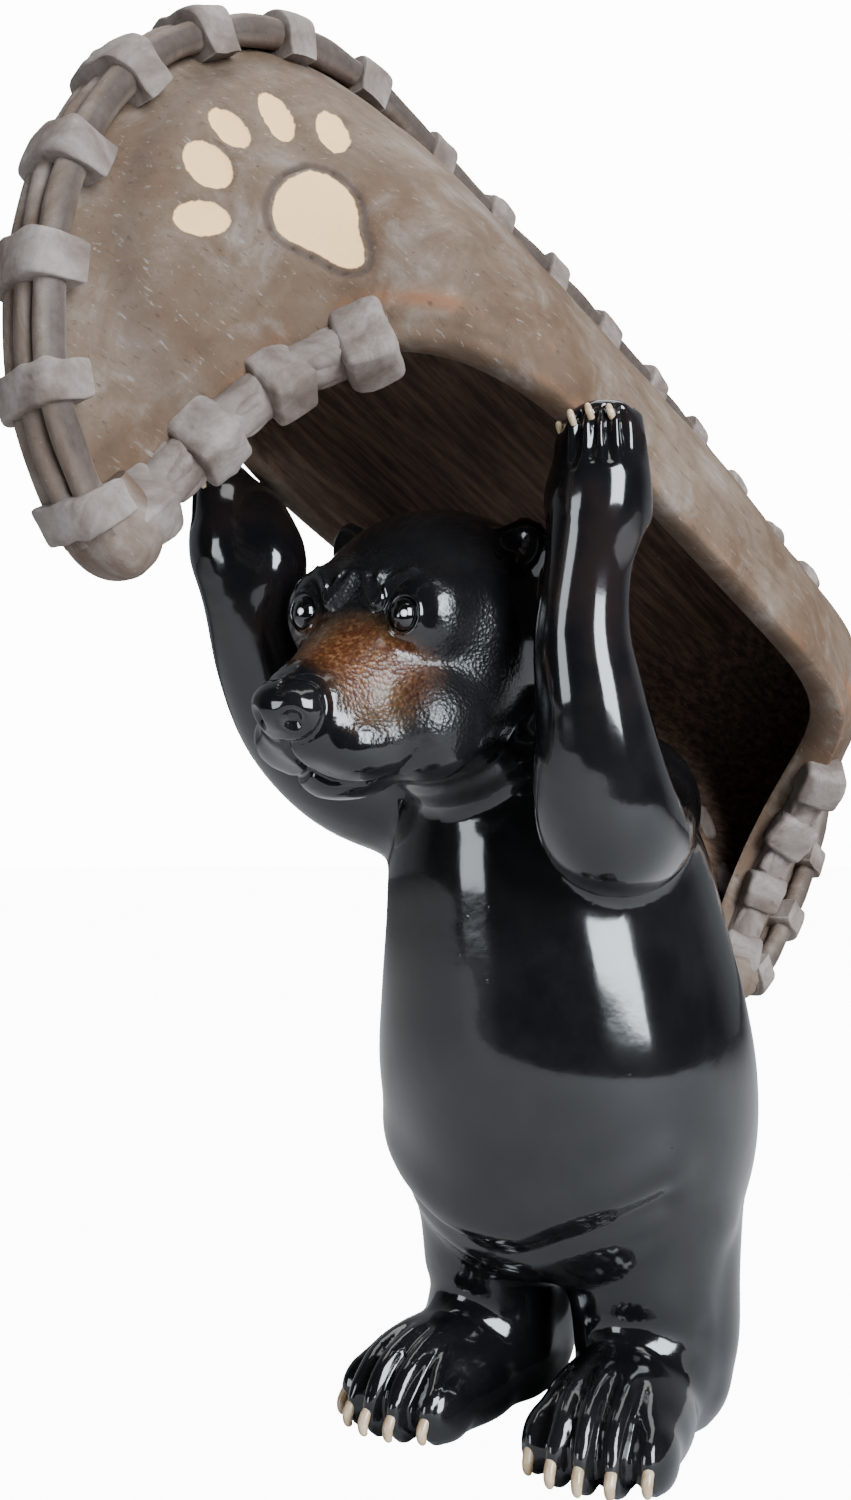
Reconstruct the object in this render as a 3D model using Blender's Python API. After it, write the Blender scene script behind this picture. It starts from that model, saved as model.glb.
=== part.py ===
"""A standing bear that carries an upturned canoe over its head.

Two castings: the glazed bear and the matt canoe that its paws hold.
Metres, +Z up. The bear faces -Y, and the origin is on the ground under the
middle of the whole figure's length.
"""
from math import cos, pi, radians, sin

import bmesh
import bpy
import numpy as np
from mathutils import Matrix, Vector

# The bear. Its pose and forms are written in units of which its height has 13.6.
BEAR_HEIGHT = 0.136
UNIT = BEAR_HEIGHT / 13.6
HEAD_TILT = radians(6.0)    # the head leans to the bear's left
HEAD_PIVOT = Vector((0.0, -2.4, 11.6)) * UNIT
FOOT_SPLAY = 9.0            # degrees that each foot turns out
HOLD = Vector((0.0, -3.13, 14.25)) * UNIT  # the gunwales' middle between the paws

# The canoe, keel up. Its own axes: u to the bow, v to the bear's left, w to the keel.
CANOE_LENGTH = 0.1772       # from stem to stem at gunwale level
CANOE_BEAM = 0.0617         # over the gunwales
CANOE_DEPTH = 0.0381        # from gunwale to keel where the keel starts
KEEL_CROWN = 0.0027         # the keel's rise amidships above that
BOW_REACH = 0.0349          # how far the bow's stem stands out past the keel's end
BOW_DROP = 0.0420           # how far its curve goes below gunwale level
BOW_SWEEP = radians(72.0)   # and how far it curls back there
STERN_REACH = 0.0252        # the same for the stern, which is blunter
STERN_DROP = 0.0448
STERN_SWEEP = radians(58.0)
WALL = 0.0042               # the hull's wall, and its rim
RIM_LEAD_SHARE = 0.22       # how much faster the sections run along the rim at the tips
STEM_WALL = 0.0100          # the solid nose inside each stem
BEAM_FULLNESS = 5.4         # how square the gunwale's outline is from above
TIP_FINENESS = 1.3          # and how finely it comes to a point
SHEER_FULLNESS = 12.0       # how late the gunwale drops to the tip
HULL_ROUNDNESS = 1.15       # how the section's steps crowd towards the keel
BOW_RISE = radians(25.4)    # the canoe's tilt, bow up
BOW_YAW = radians(-8.0)     # and its turn, bow to the bear's right
PAW_STATION = 0.0337        # where the paws hold it, forward of its middle

# The rib bundle along stems and keel, with the straps that wrap it.
BUNDLE_WIDTH = 0.0082
BUNDLE_RISE = 0.0024
BUNDLE_ROOT = 0.0029        # how deep the bar goes into the hull
STRAP_PITCH = 0.01415
STRAP_WIDTH = 0.0050
STRAP_RISE = 0.0013
STRAP_SPREAD = 0.0009       # how far a strap stands out beside the ribs
STRAP_SLOPE = 0.0007        # the length over which it rises
STRAP_START = 0.0050        # first strap's middle, along the stem from its tip
TIP_OVERHANG = 0.0020       # the bundle's blunt end, past the tip

# The cord round each end of the gunwales, with its knots.
CORD_RADIUS = 0.0038
CORD_PLACE_SHARE = 0.90     # its middle's place over the rim, from inside to outside
CORD_DROP = 0.0014          # and how far it hangs below the rim
KNOT_RISE = 0.0012
KNOT_SLOPE = 0.0009
KNOT_WIDTH = 0.0052
KNOT_PITCH = 0.0114
BOW_KNOT = 0.0074           # the first knot's middle, along the rim from the bow's tip
STERN_KNOT = 0.0070         # and from the stern's
KNOTS = 4

CLEARANCE = 0.0003          # between the bear and the canoe

# How finely the forms are cut.
VOXEL = BEAR_HEIGHT / 90    # the gaps between limbs and head stay over two of these
BEAR_SHARE = 0.104          # of the fused form's triangles that are kept
SOFT_PASSES = 3
HULL_STATIONS = 34
SIDE_STEPS = 12
CORD_SIDES = 7
CORD_TWIST = radians(6.0)   # turns the two cords apart, which would meet edge on edge
SLIVER = 0.00002            # shorter edges than this are closed up
INNER_STEPS = 8


def clear_scene():
    """Starts from an empty scene."""
    for old in list(bpy.data.objects):
        bpy.data.objects.remove(old, do_unlink=True)


def finish(name, colour, roughness, metallic=0.0, coat=0.0):
    """A plain material."""
    material = bpy.data.materials.new(name)
    material.use_nodes = True
    shader = material.node_tree.nodes["Principled BSDF"]
    shader.inputs["Base Color"].default_value = (*colour, 1.0)
    shader.inputs["Roughness"].default_value = roughness
    shader.inputs["Metallic"].default_value = metallic
    shader.inputs["Coat Weight"].default_value = coat
    return material


def solid(name, bm, material=None):
    """A named object from a bmesh, its faces pointing out."""
    bmesh.ops.recalc_face_normals(bm, faces=bm.faces)
    mesh = bpy.data.meshes.new(name)
    bm.to_mesh(mesh)
    bm.free()
    thing = bpy.data.objects.new(name, mesh)
    bpy.context.scene.collection.objects.link(thing)
    if material:
        mesh.materials.append(material)
    return thing


def cutter(name, bm):
    """A guide that only shapes another object."""
    thing = solid(name, bm)
    thing.hide_render = True
    thing.display_type = "WIRE"
    return thing


def combine(thing, other, operation, solver="EXACT"):
    """A Boolean modifier of the one object on the other."""
    step = thing.modifiers.new(other.name, "BOOLEAN")
    step.operation = operation
    step.solver = solver
    step.object = other


def weld(thing):
    """Takes out the slivers that the unions leave."""
    step = thing.modifiers.new("weld", "WELD")
    step.merge_threshold = SLIVER


def smooth_path(points, steps):
    """Points and radii on a Catmull-Rom curve through the given rows."""
    rows = np.array(points, dtype=float)
    rows = np.vstack([2 * rows[0] - rows[1], rows, 2 * rows[-1] - rows[-2]])
    path = []
    for first in range(len(rows) - 3):
        a, b, c, d = rows[first:first + 4]
        for step in range(steps):
            t = step / steps
            path.append(0.5 * (2 * b + (c - a) * t + (2 * a - 5 * b + 4 * c - d) * t ** 2
                               + (3 * b - a - 3 * c + d) * t ** 3))
    path.append(rows[-2])
    return np.array(path)


def ball(bm, centre, radii, turn=(0.0, 0.0, 0.0)):
    """An ellipsoid in bear units, turned by degrees about X, Y and Z."""
    place = Matrix.Translation(Vector(centre) * UNIT)
    for axis, angle in zip("ZYX", reversed(turn)):
        place = place @ Matrix.Rotation(radians(angle), 4, axis)
    size = Matrix.Diagonal((*(Vector(radii) * UNIT), 1.0))
    bmesh.ops.create_uvsphere(bm, u_segments=24, v_segments=16, radius=1.0, matrix=place @ size)


def limb(bm, points, steps=6, sides=20):
    """A round limb through rows of x, y, z and radius in bear units."""
    path = smooth_path(points, steps) * UNIT
    for row in (path[0], path[-1]):
        ball(bm, row[:3] / UNIT, [row[3] / UNIT] * 3)
    rings = []
    for index, row in enumerate(path):
        before, after = path[max(index - 1, 0)], path[min(index + 1, len(path) - 1)]
        along = Vector(after[:3] - before[:3]).normalized()
        frame = along.to_track_quat("Z", "Y").to_matrix()
        ring = []
        for side in range(sides):
            angle = 2 * pi * side / sides
            spot = Vector(row[:3]) + frame @ Vector((cos(angle), sin(angle), 0.0)) * row[3]
            ring.append(bm.verts.new(spot))
        rings.append(ring)
    join_rings(bm, rings)


def trunk(bm, rows, steps=4, sides=40):
    """A smooth body through rows of height, middle's y, half breadth and half depth."""
    rings = []
    for z, y, breadth, depth in smooth_path(rows, steps) * UNIT:
        turns = [2 * pi * side / sides for side in range(sides)]
        rings.append([bm.verts.new((breadth * cos(turn), y + depth * sin(turn), z))
                      for turn in turns])
    join_rings(bm, rings)


def join_rings(bm, rings):
    """Quads from ring to ring, and a face over each end."""
    for ring, following in zip(rings, rings[1:]):
        for side in range(len(ring)):
            beside = (side + 1) % len(ring)
            bm.faces.new((ring[side], ring[beside], following[beside], following[side]))
    bm.faces.new(rings[0])
    bm.faces.new(list(reversed(rings[-1])))


# The canoe's lines, each a function that gives (u, w) or (u, v, w).

def canoe_sizes(grow=0.0):
    """The driving sizes of the hull's skin, moved out by grow."""
    return {
        "keel_end": (CANOE_LENGTH - BOW_REACH - STERN_REACH) / 2,
        "depth": CANOE_DEPTH + grow,
        "half_beam": CANOE_BEAM / 2 + grow,
        "bow": (BOW_REACH + grow, BOW_DROP + grow, BOW_SWEEP),
        "stern": (STERN_REACH + grow, STERN_DROP + grow, STERN_SWEEP),
    }


def stem(sizes, end, steps=400):
    """One stem's curve from its tip up to the keel, as (u, w) rows."""
    reach, drop, sweep_angle = sizes[end]
    angles = np.linspace(-sweep_angle, pi / 2, steps)
    height = np.where(angles < 0, drop, sizes["depth"])
    return np.stack([sizes["keel_end"] + reach * np.cos(angles), height * np.sin(angles)], -1)


def stem_and_keel(sizes, steps=400):
    """The centre line from bow tip over the keel to stern tip, as (u, w) rows."""
    along = np.linspace(1.0, -1.0, steps)[1:-1]
    keel = np.stack([along * sizes["keel_end"],
                     sizes["depth"] + KEEL_CROWN * (1 - along ** 2) ** 2], -1)
    return np.concatenate([stem(sizes, "bow"), keel, stem(sizes, "stern")[::-1] * (-1, 1)])


def lengths(line):
    """The distance along the line at each of its points."""
    return np.concatenate([[0.0], np.cumsum(np.linalg.norm(np.diff(line, axis=0), axis=1))])


def at_lengths(line, distances):
    """The line's points at these distances along it, straight on past its ends."""
    run = lengths(line)
    spots = np.stack([np.interp(distances, run, line[:, k]) for k in range(line.shape[1])], -1)
    before = np.minimum(distances, 0.0)
    after = np.maximum(distances - run[-1], 0.0)
    start = (line[1] - line[0]) / (run[1] - run[0])
    end = (line[-1] - line[-2]) / (run[-1] - run[-2])
    return spots + np.multiply.outer(before, start) + np.multiply.outer(after, end)


def outward(line):
    """The unit vector across a (u, w) line, away from the hull's inside."""
    slope = np.gradient(line, axis=0)
    across = np.stack([-slope[:, 1], slope[:, 0]], -1)
    across /= np.linalg.norm(across, axis=1)[:, None]
    return -across if across[len(line) // 2, 1] < 0 else across


def gunwale(centre, half_beam, lower=0.0, steps=801):
    """The rim's line on the left side, from tip to tip of the centre line, as (u, v, w) rows."""
    (bow_u, bow_w), (stern_u, stern_w) = centre[0], centre[-1]
    t = np.linspace(1.0, -1.0, steps)
    return np.stack([np.where(t > 0, t * bow_u, -t * stern_u),
                     half_beam * (1 - np.abs(t) ** BEAM_FULLNESS) ** TIP_FINENESS,
                     np.where(t > 0, bow_w, stern_w) * np.abs(t) ** SHEER_FULLNESS - lower], -1)


def rim_share(share):
    """How far along the rim the section lies that starts so far along the keel line.

    Near the tips the sections lean with the stem, so the rim runs faster there.
    """
    return share + RIM_LEAD_SHARE * np.sin(2 * pi * share) / (2 * pi)


def skin_rows(centre, rim, steps, shares):
    """Rows of points over the hull from the left rim over the keel to the right rim."""
    keel = at_lengths(centre, shares * lengths(centre)[-1])
    edge = at_lengths(rim, rim_share(shares) * lengths(rim)[-1])
    rows = []
    for (ku, kw), (eu, ev, ew) in zip(keel, edge):
        row = []
        for step in range(-steps // 2, steps // 2 + 1):
            side = -step / (steps // 2)
            drop = abs(side) ** HULL_ROUNDNESS
            breadth = 1 - (1 - drop) ** 2
            row.append((ku + (eu - ku) * drop, ev * breadth * (1 if side > 0 else -1),
                        kw + (ew - kw) * drop))
        rows.append(row)
    return rows


def inner_lines(sizes, wall, stem_wall, lower=0.0):
    """The inside's centre line and rim, set in from the outside by the walls."""
    centre = stem_and_keel(sizes)
    run = lengths(centre)
    from_tip = np.minimum(run, run[-1] - run)
    stem_length = CANOE_DEPTH + BOW_DROP
    fade = np.clip(from_tip / stem_length, 0, 1) ** 2
    inset = stem_wall + (wall - stem_wall) * fade
    inside = centre - outward(centre) * inset[:, None]
    return inside, gunwale(inside, sizes["half_beam"] - wall, lower)


def hull(grow=0.0):
    """The open shell of the canoe: outside, inside and the rim between them."""
    sizes = canoe_sizes(grow)
    outer_centre = stem_and_keel(sizes)
    outer_rim = gunwale(outer_centre, sizes["half_beam"], grow)
    inner_centre, inner_rim = inner_lines(sizes, WALL + 2 * grow, STEM_WALL + 2 * grow, grow)
    shares = np.arange(1, HULL_STATIONS) / HULL_STATIONS
    bm = bmesh.new()
    skins = []
    for centre, rim, steps in ((outer_centre, outer_rim, SIDE_STEPS),
                               (inner_centre, inner_rim, INNER_STEPS)):
        ends = [bm.verts.new((u, 0.0, w)) for u, w in (centre[0], centre[-1])]
        rows = [[bm.verts.new(spot) for spot in row]
                for row in skin_rows(centre, rim, steps, shares)]
        for row, following in zip(rows, rows[1:]):
            for k in range(steps):
                bm.faces.new((row[k], row[k + 1], following[k + 1], following[k]))
        for tip, row in ((ends[0], rows[0]), (ends[1], rows[-1])):
            for k in range(steps):
                bm.faces.new((tip, row[k], row[k + 1]))
        skins.append((ends, rows))
    (outer_ends, outer), (inner_ends, inner) = skins
    for side in (0, -1):
        out_edge = [outer_ends[0]] + [row[side] for row in outer] + [outer_ends[1]]
        in_edge = [inner_ends[0]] + [row[side] for row in inner] + [inner_ends[1]]
        for k in range(len(out_edge) - 1):
            bm.faces.new((out_edge[k], out_edge[k + 1], in_edge[k + 1], in_edge[k]))
    return bm


def sweep(bm, centres, ups, sides, outlines):
    """A bar through the centres, each ring an outline in its (side, up) plane."""
    rings = []
    for centre, up, side, outline in zip(centres, ups, sides, outlines):
        rings.append([bm.verts.new(Vector(centre) + Vector(side) * x + Vector(up) * y)
                      for x, y in outline])
    join_rings(bm, rings)


def bundle_outline(strapped):
    """The bundle's section: three ribs side by side, or the strap over them."""
    half, top = BUNDLE_WIDTH / 2, BUNDLE_RISE
    curve = [(1.0, 0.3), (0.68, 0.8), (0.34, 0.45)]
    if strapped:
        half, top = half + STRAP_SPREAD, top + STRAP_RISE
        curve = [(1.0, 0.45), (0.72, 0.88), (0.34, 1.0)]
    right = [(half, -BUNDLE_ROOT)] + [(half * x, top * y) for x, y in curve]
    return right + [(0.0, top)] + [(-x, y) for x, y in reversed(right)]


def strap_middles(total):
    """Where the straps' middles lie along the stems and keel."""
    count = round((total - 2 * STRAP_START) / STRAP_PITCH) + 1
    pitch = (total - 2 * STRAP_START) / (count - 1)
    return STRAP_START + pitch * np.arange(count)


def bundle():
    """The rib bundle with its straps, as one bar round stems and keel."""
    centre = stem_and_keel(canoe_sizes())
    across = outward(centre)
    run = lengths(centre)
    stops = [(-TIP_OVERHANG, False)]
    for middle in strap_middles(run[-1]):
        start, end = middle - STRAP_WIDTH / 2, middle + STRAP_WIDTH / 2
        stops += [(start - STRAP_SLOPE, False), (start, True),
                  (end, True), (end + STRAP_SLOPE, False)]
    stops.append((run[-1] + TIP_OVERHANG, False))
    centres, ups, outlines = [], [], []
    for distance, strapped in stops:
        u, w = at_lengths(centre, distance)
        up_u, up_w = [np.interp(distance, run, across[:, k]) for k in range(2)]
        centres.append((u, 0.0, w))
        ups.append((up_u, 0.0, up_w))
        outlines.append(bundle_outline(strapped))
    bm = bmesh.new()
    sweep(bm, centres, ups, [(0.0, 1.0, 0.0)] * len(centres), outlines)
    return bm


def cord(end, side, grow=0.0):
    """The cord round one end of one gunwale: end and side are 1 or -1."""
    sizes = canoe_sizes()
    inner_rim = inner_lines(sizes, WALL, STEM_WALL)[1]
    outer_rim = gunwale(stem_and_keel(sizes), sizes["half_beam"])
    middle = (outer_rim * CORD_PLACE_SHARE + inner_rim * (1 - CORD_PLACE_SHARE))[::end]
    middle[:, 2] -= CORD_DROP
    stops = [(CORD_RADIUS, 0.0)]
    for knot in range(KNOTS):
        place = (BOW_KNOT if end > 0 else STERN_KNOT) + knot * KNOT_PITCH
        start, stop = place - KNOT_WIDTH / 2, place + KNOT_WIDTH / 2
        if knot or start - KNOT_SLOPE > CORD_RADIUS:
            stops.append((start - KNOT_SLOPE, 0.0))
        stops += [(start, KNOT_RISE), (stop, KNOT_RISE), (stop + KNOT_SLOPE, 0.0)]
    distances = np.array([distance for distance, _ in stops])
    distances[[0, -1]] += (-grow, grow)
    spots = at_lengths(middle, distances)
    ahead = at_lengths(middle, distances + CLEARANCE)
    behind = at_lengths(middle, distances - CLEARANCE)
    bm = bmesh.new()
    rings = []
    for (_, rise), spot, after, before in zip(stops, spots, ahead, behind):
        frame = Vector(after - before).to_track_quat("Z", "Y").to_matrix()
        radius = CORD_RADIUS + rise + grow
        ring = []
        for step in range(CORD_SIDES):
            angle = 2 * pi * step / CORD_SIDES + CORD_TWIST * side
            place = Vector(spot) + frame @ Vector((cos(angle), sin(angle), 0)) * radius
            ring.append(bm.verts.new((place.x, place.y * side, place.z)))
        rings.append(ring)
    join_rings(bm, rings)
    return bm


def half_beam_at(station):
    """Half the beam at so far forward of the middle."""
    bow_u = stem_and_keel(canoe_sizes())[0][0]
    return CANOE_BEAM / 2 * (1 - abs(station / bow_u) ** BEAM_FULLNESS) ** TIP_FINENESS


def canoe_turn():
    """The canoe's own axes turned as the bear holds it, about the place between its paws."""
    own = Matrix(((0, 1, 0, 0), (-1, 0, 0, 0), (0, 0, 1, 0), (0, 0, 0, 1)))
    rise = Matrix.Rotation(-BOW_RISE, 4, "X")
    turn = Matrix.Rotation(BOW_YAW, 4, "Z")
    return turn @ rise @ own @ Matrix.Translation((-PAW_STATION, 0, 0))


def stance():
    """The shift that puts the middle of the figure's length over the origin."""
    turn = canoe_turn()
    line = stem_and_keel(canoe_sizes(BUNDLE_RISE + STRAP_RISE))
    reach = [(turn @ Vector((u, 0.0, w))).y + HOLD.y for u, w in line]
    return Vector((0.0, -(min(reach) + max(reach)) / 2, 0.0))


def canoe_place():
    """From the canoe's own axes to the figure's."""
    return Matrix.Translation(HOLD + stance()) @ canoe_turn()


def make_canoe():
    """The hull with its bindings, cast as one."""
    place = canoe_place()
    bodies = [("canoe", hull())]
    bodies.append(("canoe_bundle", bundle()))
    for end in (1, -1):
        for side in (1, -1):
            bodies.append((f"canoe_cord_{'bow' if end > 0 else 'stern'}_{side}", cord(end, side)))
    for _, bm in bodies:
        bmesh.ops.transform(bm, matrix=place, verts=bm.verts)
    clay = finish("canoe_clay", (0.26, 0.20, 0.16), 0.75)
    canoe = solid(bodies[0][0], bodies[0][1], clay)
    # The cords cross each other and the bundle at the tips, where the exact solver
    # leaves open edges.
    for name, bm in bodies[1:]:
        combine(canoe, cutter(name, bm), "UNION", "MANIFOLD")
    weld(canoe)
    return canoe


def head_forms():
    """The head, upright: skull, muzzle, nose, jaw, brows and ears."""
    bm = bmesh.new()
    ball(bm, (0, -2.30, 11.80), (1.86, 2.05, 1.74))
    ball(bm, (0, -1.40, 10.9), (1.55, 1.9, 1.7))
    ball(bm, (0, -2.95, 10.95), (1.60, 1.45, 1.32))
    limb(bm, [(0, -3.2, 10.98, 1.42), (0, -4.15, 10.66, 1.12), (0, -4.85, 10.44, 0.80)])
    ball(bm, (0, -5.52, 10.52), (0.54, 0.40, 0.36), (-12, 0, 0))
    ball(bm, (0, -4.40, 9.78), (0.66, 0.82, 0.34), (10, 0, 0))
    for side in (1, -1):
        ball(bm, (side * 0.40, -4.62, 10.12), (0.66, 0.84, 0.52), (8, 0, side * 8))
        ball(bm, (side * 0.85, -3.70, 10.40), (0.85, 0.85, 0.76), (0, 0, side * 20))
        ball(bm, (side * 0.72, -4.00, 12.18), (0.50, 0.34, 0.26), (0, side * 18, 0))
        ball(bm, (side * 0.87, -4.12, 11.80), (0.30, 0.30, 0.30))
        ball(bm, (side * 1.50, -2.70, 12.95), (0.42, 0.24, 0.44), (0, side * 30, side * 25))
    tilt = Matrix.Translation(HEAD_PIVOT) @ Matrix.Rotation(HEAD_TILT, 4, "Y")
    bmesh.ops.transform(bm, matrix=tilt @ Matrix.Translation(-HEAD_PIVOT), verts=bm.verts)
    return bm


def foot_forms(bm, side):
    """One foot: sole pad, instep and five toes."""
    heading = radians(FOOT_SPLAY) * side
    heel = Vector((side * 1.34, 1.15, 0.0))
    for forward, across, up, radii in ((0.0, 0.0, 0.9, (1.08, 1.15, 1.2)),
                                       (1.3, 0.0, 0.55, (1.08, 1.6, 0.95))):
        spot = heel + Vector((sin(heading) * forward + cos(heading) * across,
                              -cos(heading) * forward + sin(heading) * across, up))
        ball(bm, spot, radii, (0, 0, side * FOOT_SPLAY))
    for toe in range(-2, 3):
        forward, across = 2.45 - 0.09 * toe * toe, toe * 0.43
        spot = heel + Vector((sin(heading) * forward + cos(heading) * across,
                              -cos(heading) * forward + sin(heading) * across, 0.4))
        ball(bm, spot, (0.27, 0.55, 0.5), (0, 0, side * FOOT_SPLAY))


def bear_forms():
    """All the forms that the bear is modelled from, still overlapping."""
    bm = head_forms()
    trunk(bm, [(2.05, 1.35, 0.9, 0.9), (2.4, 1.35, 1.9, 1.85), (3.1, 1.32, 2.55, 2.45),
               (4.1, 1.25, 2.88, 2.78), (5.3, 1.08, 2.97, 2.93), (6.5, 0.95, 2.83, 2.86),
               (7.6, 0.78, 2.62, 2.74), (8.7, 0.58, 2.42, 2.58), (9.7, 0.40, 2.08, 2.22),
               (10.5, 0.33, 1.62, 1.75), (11.1, 0.33, 0.95, 1.0), (11.3, 0.33, 0.4, 0.4)])
    # Arms, which end on the outside of the gunwales
    grip = half_beam_at(PAW_STATION) / UNIT
    left_arm = [(1.6, 0.0, 9.3, 1.2), (2.35, -1.2, 9.0, 0.95), (2.62, -2.2, 9.1, 0.98),
                (2.72, -2.65, 9.8, 0.86), (2.77, -2.9, 10.5, 0.74),
                (grip - 0.24, -3.1, 11.4, 0.64), (grip - 0.09, -3.2, 12.3, 0.57),
                (grip + 0.06, -3.2, 13.0, 0.66), (grip + 0.11, -3.2, 13.6, 0.62),
                (grip + 0.16, -3.3, 13.95, 0.4)]
    right_arm = [(-1.7, -0.2, 9.6, 1.2), (-2.4, -1.3, 9.9, 1.0), (-2.87, -2.1, 10.6, 0.86),
                 (-3.02, -2.65, 11.5, 0.76), (-grip + 0.02, -3.0, 12.5, 0.76),
                 (-grip - 0.04, -3.1, 13.2, 0.86), (-grip - 0.16, -3.2, 13.8, 0.72),
                 (-grip - 0.26, -3.3, 14.2, 0.4)]
    limb(bm, left_arm)
    limb(bm, right_arm)
    ball(bm, (-grip + 0.44, -3.1, 12.95), (0.56, 0.6, 0.85))
    for side in (1, -1):
        leg = [(1.25, 1.2, 3.4, 1.5), (1.34, 1.1, 2.2, 1.2), (1.37, 1.1, 1.1, 1.1)]
        limb(bm, [(side * x, y, z, r) for x, y, z, r in leg])
        foot_forms(bm, side)
    bmesh.ops.translate(bm, vec=stance(), verts=bm.verts)
    return bm


def make_bear():
    """The bear, cast as one, with flat soles and room for the canoe in its paws."""
    glaze = finish("bear_glaze", (0.012, 0.012, 0.015), 0.12, coat=1.0)
    bear = solid("bear", bear_forms(), glaze)
    fuse = bear.modifiers.new("fuse", "REMESH")
    fuse.mode = "VOXEL"
    fuse.voxel_size = VOXEL
    soften = bear.modifiers.new("soften", "SMOOTH")
    soften.factor = 0.5
    soften.iterations = SOFT_PASSES
    thin = bear.modifiers.new("thin", "DECIMATE")
    thin.ratio = BEAR_SHARE
    floor = bmesh.new()
    block = Matrix.Translation((0, 0, -UNIT)) @ Matrix.Diagonal((*([BEAR_HEIGHT] * 2), 2 * UNIT, 1))
    bmesh.ops.create_cube(floor, size=1.0, matrix=block)
    combine(bear, cutter("floor", floor), "DIFFERENCE")
    rooms = [("hull_room", hull(CLEARANCE))]
    rooms += [(f"cord_room_{side}", cord(1, side, CLEARANCE)) for side in (1, -1)]
    for name, room in rooms:
        bmesh.ops.transform(room, matrix=canoe_place(), verts=room.verts)
        combine(bear, cutter(name, room), "DIFFERENCE")
    return bear


def main():
    """The whole figure."""
    clear_scene()
    make_canoe()
    make_bear()


main()
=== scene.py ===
"""The looks of a standing glazed bear that carries an upturned canoe over its head.

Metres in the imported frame: +Z up, the bear faces -Y and its left is +X.
"""
from math import cos, pi, radians, sin

import bpy
import numpy as np
from mathutils import Euler, Matrix, Vector


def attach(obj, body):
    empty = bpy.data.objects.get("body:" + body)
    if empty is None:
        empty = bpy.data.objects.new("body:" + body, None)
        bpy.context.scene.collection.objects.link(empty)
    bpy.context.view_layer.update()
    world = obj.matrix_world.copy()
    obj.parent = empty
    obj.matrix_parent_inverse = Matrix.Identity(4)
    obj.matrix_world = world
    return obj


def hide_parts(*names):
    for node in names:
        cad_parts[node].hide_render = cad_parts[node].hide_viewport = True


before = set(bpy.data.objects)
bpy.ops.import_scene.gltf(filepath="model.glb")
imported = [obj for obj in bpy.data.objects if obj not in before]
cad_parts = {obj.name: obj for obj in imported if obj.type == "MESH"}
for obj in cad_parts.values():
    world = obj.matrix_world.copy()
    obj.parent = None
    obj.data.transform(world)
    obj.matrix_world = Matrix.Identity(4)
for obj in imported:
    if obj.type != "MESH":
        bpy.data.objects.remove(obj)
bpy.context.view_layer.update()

# The bear's forms are written in units of which its height has 13.6
UNIT = 0.01
HEAD_TILT = radians(6.0)
HEAD_PIVOT = Vector((0.0, -2.4, 11.6)) * UNIT
FOOT_SPLAY = 9.0
GRIP = 3.0                     # half the beam between the paws, in units
STANCE = Vector((0.0, 0.00528, 0.0))

# The canoe: u to the bow, v to the bear's left, w to the keel, which is on top
CANOE_LENGTH = 0.1772
CANOE_BEAM = 0.0617
CANOE_DEPTH = 0.0381
KEEL_CROWN = 0.0027
BOW = (0.0349, 0.0420, radians(72.0))      # a stem's reach, drop and sweep
STERN = (0.0252, 0.0448, radians(58.0))
WALL = 0.0042
STEM_WALL = 0.0100
RIM_LEAD = 0.22
BEAM_FULLNESS = 5.4
TIP_FINENESS = 1.3
SHEER_FULLNESS = 12.0
HULL_ROUNDNESS = 1.15
CANOE_PLACE = Matrix(((-0.12572, 0.99027, 0.05970, 0.004237),
                      (-0.89454, -0.13917, 0.42476, 0.004125),
                      (0.42894, 0.0, 0.90334, 0.128045),
                      (0.0, 0.0, 0.0, 1.0)))
HULL_STATIONS = 350
OUTER_COLUMNS = 170
INNER_COLUMNS = 86

# Ribs and their straps
RIB_RADIUS = 0.00185
RIB_SPACING = 0.00310
STRAP_PITCH = 0.01415
STRAP_START = 0.0050
STRAP_HALF_LENGTH = 0.0023
STRAP_HALF_WIDTH = 0.0057
STRAP_TOP = 0.0040

# Lashings round the ends of the gunwales
LASHING_PITCH = 0.0114
LASHINGS = 4
BOW_LASHING = 0.0074
STERN_LASHING = 0.0070
CORE_RADIUS = 0.0031
BIG_BLOCK = Vector((0.0033, 0.0036, 0.0042))
SMALL_BLOCK = Vector((0.0025, 0.0026, 0.0027))

# The bear's skin
VOXEL = 0.0010
SOFT_PASSES = 12
EYE = Vector((0.85, -4.38, 11.82))
EYE_RADIUS = 0.190
EYE_STRETCH = 1.18
LEFT_FINGERS = [(2.72, -3.38, 13.72), (3.00, -3.58, 13.78), (3.24, -3.56, 13.82),
                (3.44, -3.38, 13.82), (3.52, -3.10, 13.76)]
RIGHT_FINGERS = [(-3.22, -3.68, 13.84), (-3.46, -3.60, 13.90), (-3.66, -3.38, 13.90),
                 (-3.76, -3.08, 13.80)]

MERGE = 0.000002

# The print on the flank, in millimetres of u and w
PAD = np.array([(73.2, 8.9), (71.2, 9.3), (68.9, 8.4), (67.3, 6.4), (66.2, 4.2), (64.6, 2.5),
                (63.8, 1.0), (64.5, 0.1), (66.0, -0.3), (68.0, -0.2), (70.4, -0.3),
                (72.7, -0.1), (74.3, 1.3), (75.1, 3.6), (74.8, 6.3)]) / 1000
# Each toe's middle, the end of its long half and the end of its short half
TOES = np.array([[(80.0, -2.8), (82.6, -3.9), (80.6, -0.8)],
                 [(82.1, 3.8), (84.7, 5.1), (81.7, 6.4)],
                 [(81.7, 10.1), (83.9, 11.7), (81.2, 12.1)],
                 [(77.8, 15.1), (79.6, 18.3), (76.9, 17.2)],
                 [(71.9, 16.8), (73.4, 19.2), (70.7, 19.6)]]) / 1000

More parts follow.
